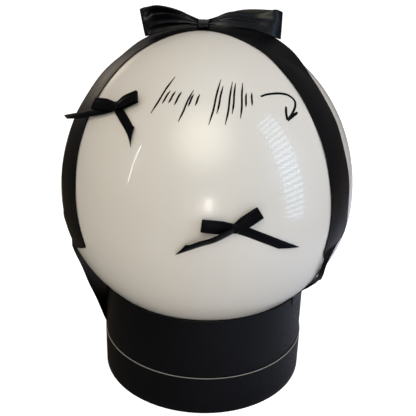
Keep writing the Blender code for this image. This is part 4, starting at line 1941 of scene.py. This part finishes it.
    def surroundings(self) -> None:
        """Adds the even light around the scene."""
        world = bpy.data.worlds.new("studio")
        world.use_nodes = True
        sketch = NodeSketch(world.node_tree)
        ray = sketch.add("ShaderNodeLightPath").outputs
        lit = world.node_tree.nodes["Background"]
        lit.inputs["Color"].default_value = (*self.AIR, 1.0)
        gloss_drop = self.air_in_gloss - self.air_light
        strength = sketch.maths("MULTIPLY_ADD", ray["Is Glossy Ray"], gloss_drop, self.air_light)
        sketch.feed(lit.inputs["Strength"], strength)
        seen = sketch.add("ShaderNodeBackground")
        seen.inputs["Color"].default_value = self.WHITE
        mix = sketch.add("ShaderNodeMixShader")
        sketch.feed(mix.inputs[0], ray["Is Camera Ray"])
        sketch.feed(mix.inputs[1], lit.outputs[0])
        sketch.feed(mix.inputs[2], seen.outputs[0])
        sketch.feed(world.node_tree.nodes["World Output"].inputs[0], mix.outputs[0])
        bpy.context.scene.world = world
        bpy.context.scene.view_settings.view_transform = "Standard"

    def build(self) -> None:
        """Sets up the whole studio."""
        self.camera()
        for lamp in self.LAMPS:
            self.lamp(lamp)
        self.floor()
        self.surroundings()
        LOG.info("studio: %d lamps", len(self.LAMPS))


# The whole set


def small_bows(form: BalloonForm, over_ribbon: float) -> list[NarrowBow]:
    """The two narrow bows of the balloon's front.

    Args:
        form: The balloon's form.
        over_ribbon: How far the upper bow lies off the skin.

    Returns:
        The bows, the upper one first.
    """
    upper = NarrowBow(
        name="narrow_bow_upper",
        node="small_bow_upper",
        form=form,
        azimuth=-44.0,
        rise=0.642 * form.upper_height,
        lift=over_ribbon,
        loops=(Loop(37.0, 2.895, 0.316), Loop(188.0, 3.316, 0.421)),
        tails=(
            Tail((
                (-0.105, 0.0, 0.211), (-1.726, -0.758, 0.211), (-3.779, -1.421, 0.316),
                (-5.242, -2.189, 0.842), (-6.737, -3.074, 1.895),
            ), slant=-1.053),
            Tail((
                (0.105, 0.0, 0.211), (1.947, -1.105, 0.0), (3.053, -1.789, 0.0),
                (3.789, -2.368, 0.105), (4.474, -3.053, 0.211),
            ), slant=-2.105),
        ),
        cut_length=0.30,
    )
    front = NarrowBow(
        name="narrow_bow_front",
        node="small_bow_front",
        form=form,
        azimuth=9.4,
        rise=0.1363 * form.upper_height,
        lift=0.0003,
        loops=(Loop(32.0, 3.053, 0.211), Loop(173.0, 3.474, 0.211)),
        tails=(
            Tail((
                (-0.105, 0.0, 0.316), (-2.211, -0.895, 0.737), (-3.579, -1.579, 0.211),
                (-4.884, -2.2, 0.0), (-6.579, -2.821, 0.105),
            ), slant=1.789, turn=38.0),
            Tail((
                (0.105, 0.0, 0.211), (1.411, -0.558, 0.0), (3.747, -1.653, 0.0),
                (6.568, -3.032, 0.105), (8.042, -3.758, 0.211),
            ), slant=3.158),
        ),
        cut_length=0.31,
    )
    return [upper, front]


def main() -> None:
    """Builds the studio and each piece in order."""
    logging.basicConfig(level=logging.INFO, format="%(name)s: %(message)s")
    Studio().build()
    effects = Effects()
    latex = PearlLatex().make(effects)
    box_card = BlackCard("black box card").make(effects)
    lid_card = BlackCard("black lid card", core=(0.30, 0.28, 0.25)).make(effects)
    wide_satin = Satin("wide black satin").make(effects)
    bow_satin = Satin("bow black satin", gloss=0.24, shine=0.32).make(effects)
    narrow_satin = Satin("narrow black satin", rib_pitch=0.0004, gloss=0.36, shine=0.09).make(effects)
    film = Vinyl().make(effects)

    form = BalloonForm.from_frame()
    box_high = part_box("hat_box")[1]
    lid_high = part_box("hat_box_lid")[1]
    ribbon = WideRibbon(form, box_high.x, box_high.z, lid_high.z)
    hat_box = RoundTray(
        "paper_hat_box", "hat_box", "box_card",
        wall=0.0025, floor=0.002, rounding=0.0008, rim_edge=0.35,
    )
    lid = RoundTray(
        "paper_lid", "hat_box_lid", "lid_card",
        wall=0.0013, floor=0.0015, rounding=0.0003, rim_edge=1.0,
    )
    assemblies = [
        (hat_box, box_card),
        (lid, lid_card),
        (PaperLap("box_paper_lap", "hat_box", "box_card"), box_card),
        (PaperLap("lid_paper_lap", "hat_box_lid", "lid_card", azimuth=172.0), lid_card),
        (Balloon(form), latex),
        (ribbon, wide_satin),
        (WideBow(ribbon), bow_satin),
        *((bow, narrow_satin) for bow in small_bows(form, ribbon.over_solid)),
        (FilmMarks(form), film),
    ]
    for assembly, finish in assemblies:
        piece = assembly.build(finish)
        LOG.info("%s: %d faces", piece.name, len(piece.data.polygons))


if __name__ == "__main__":
    main()
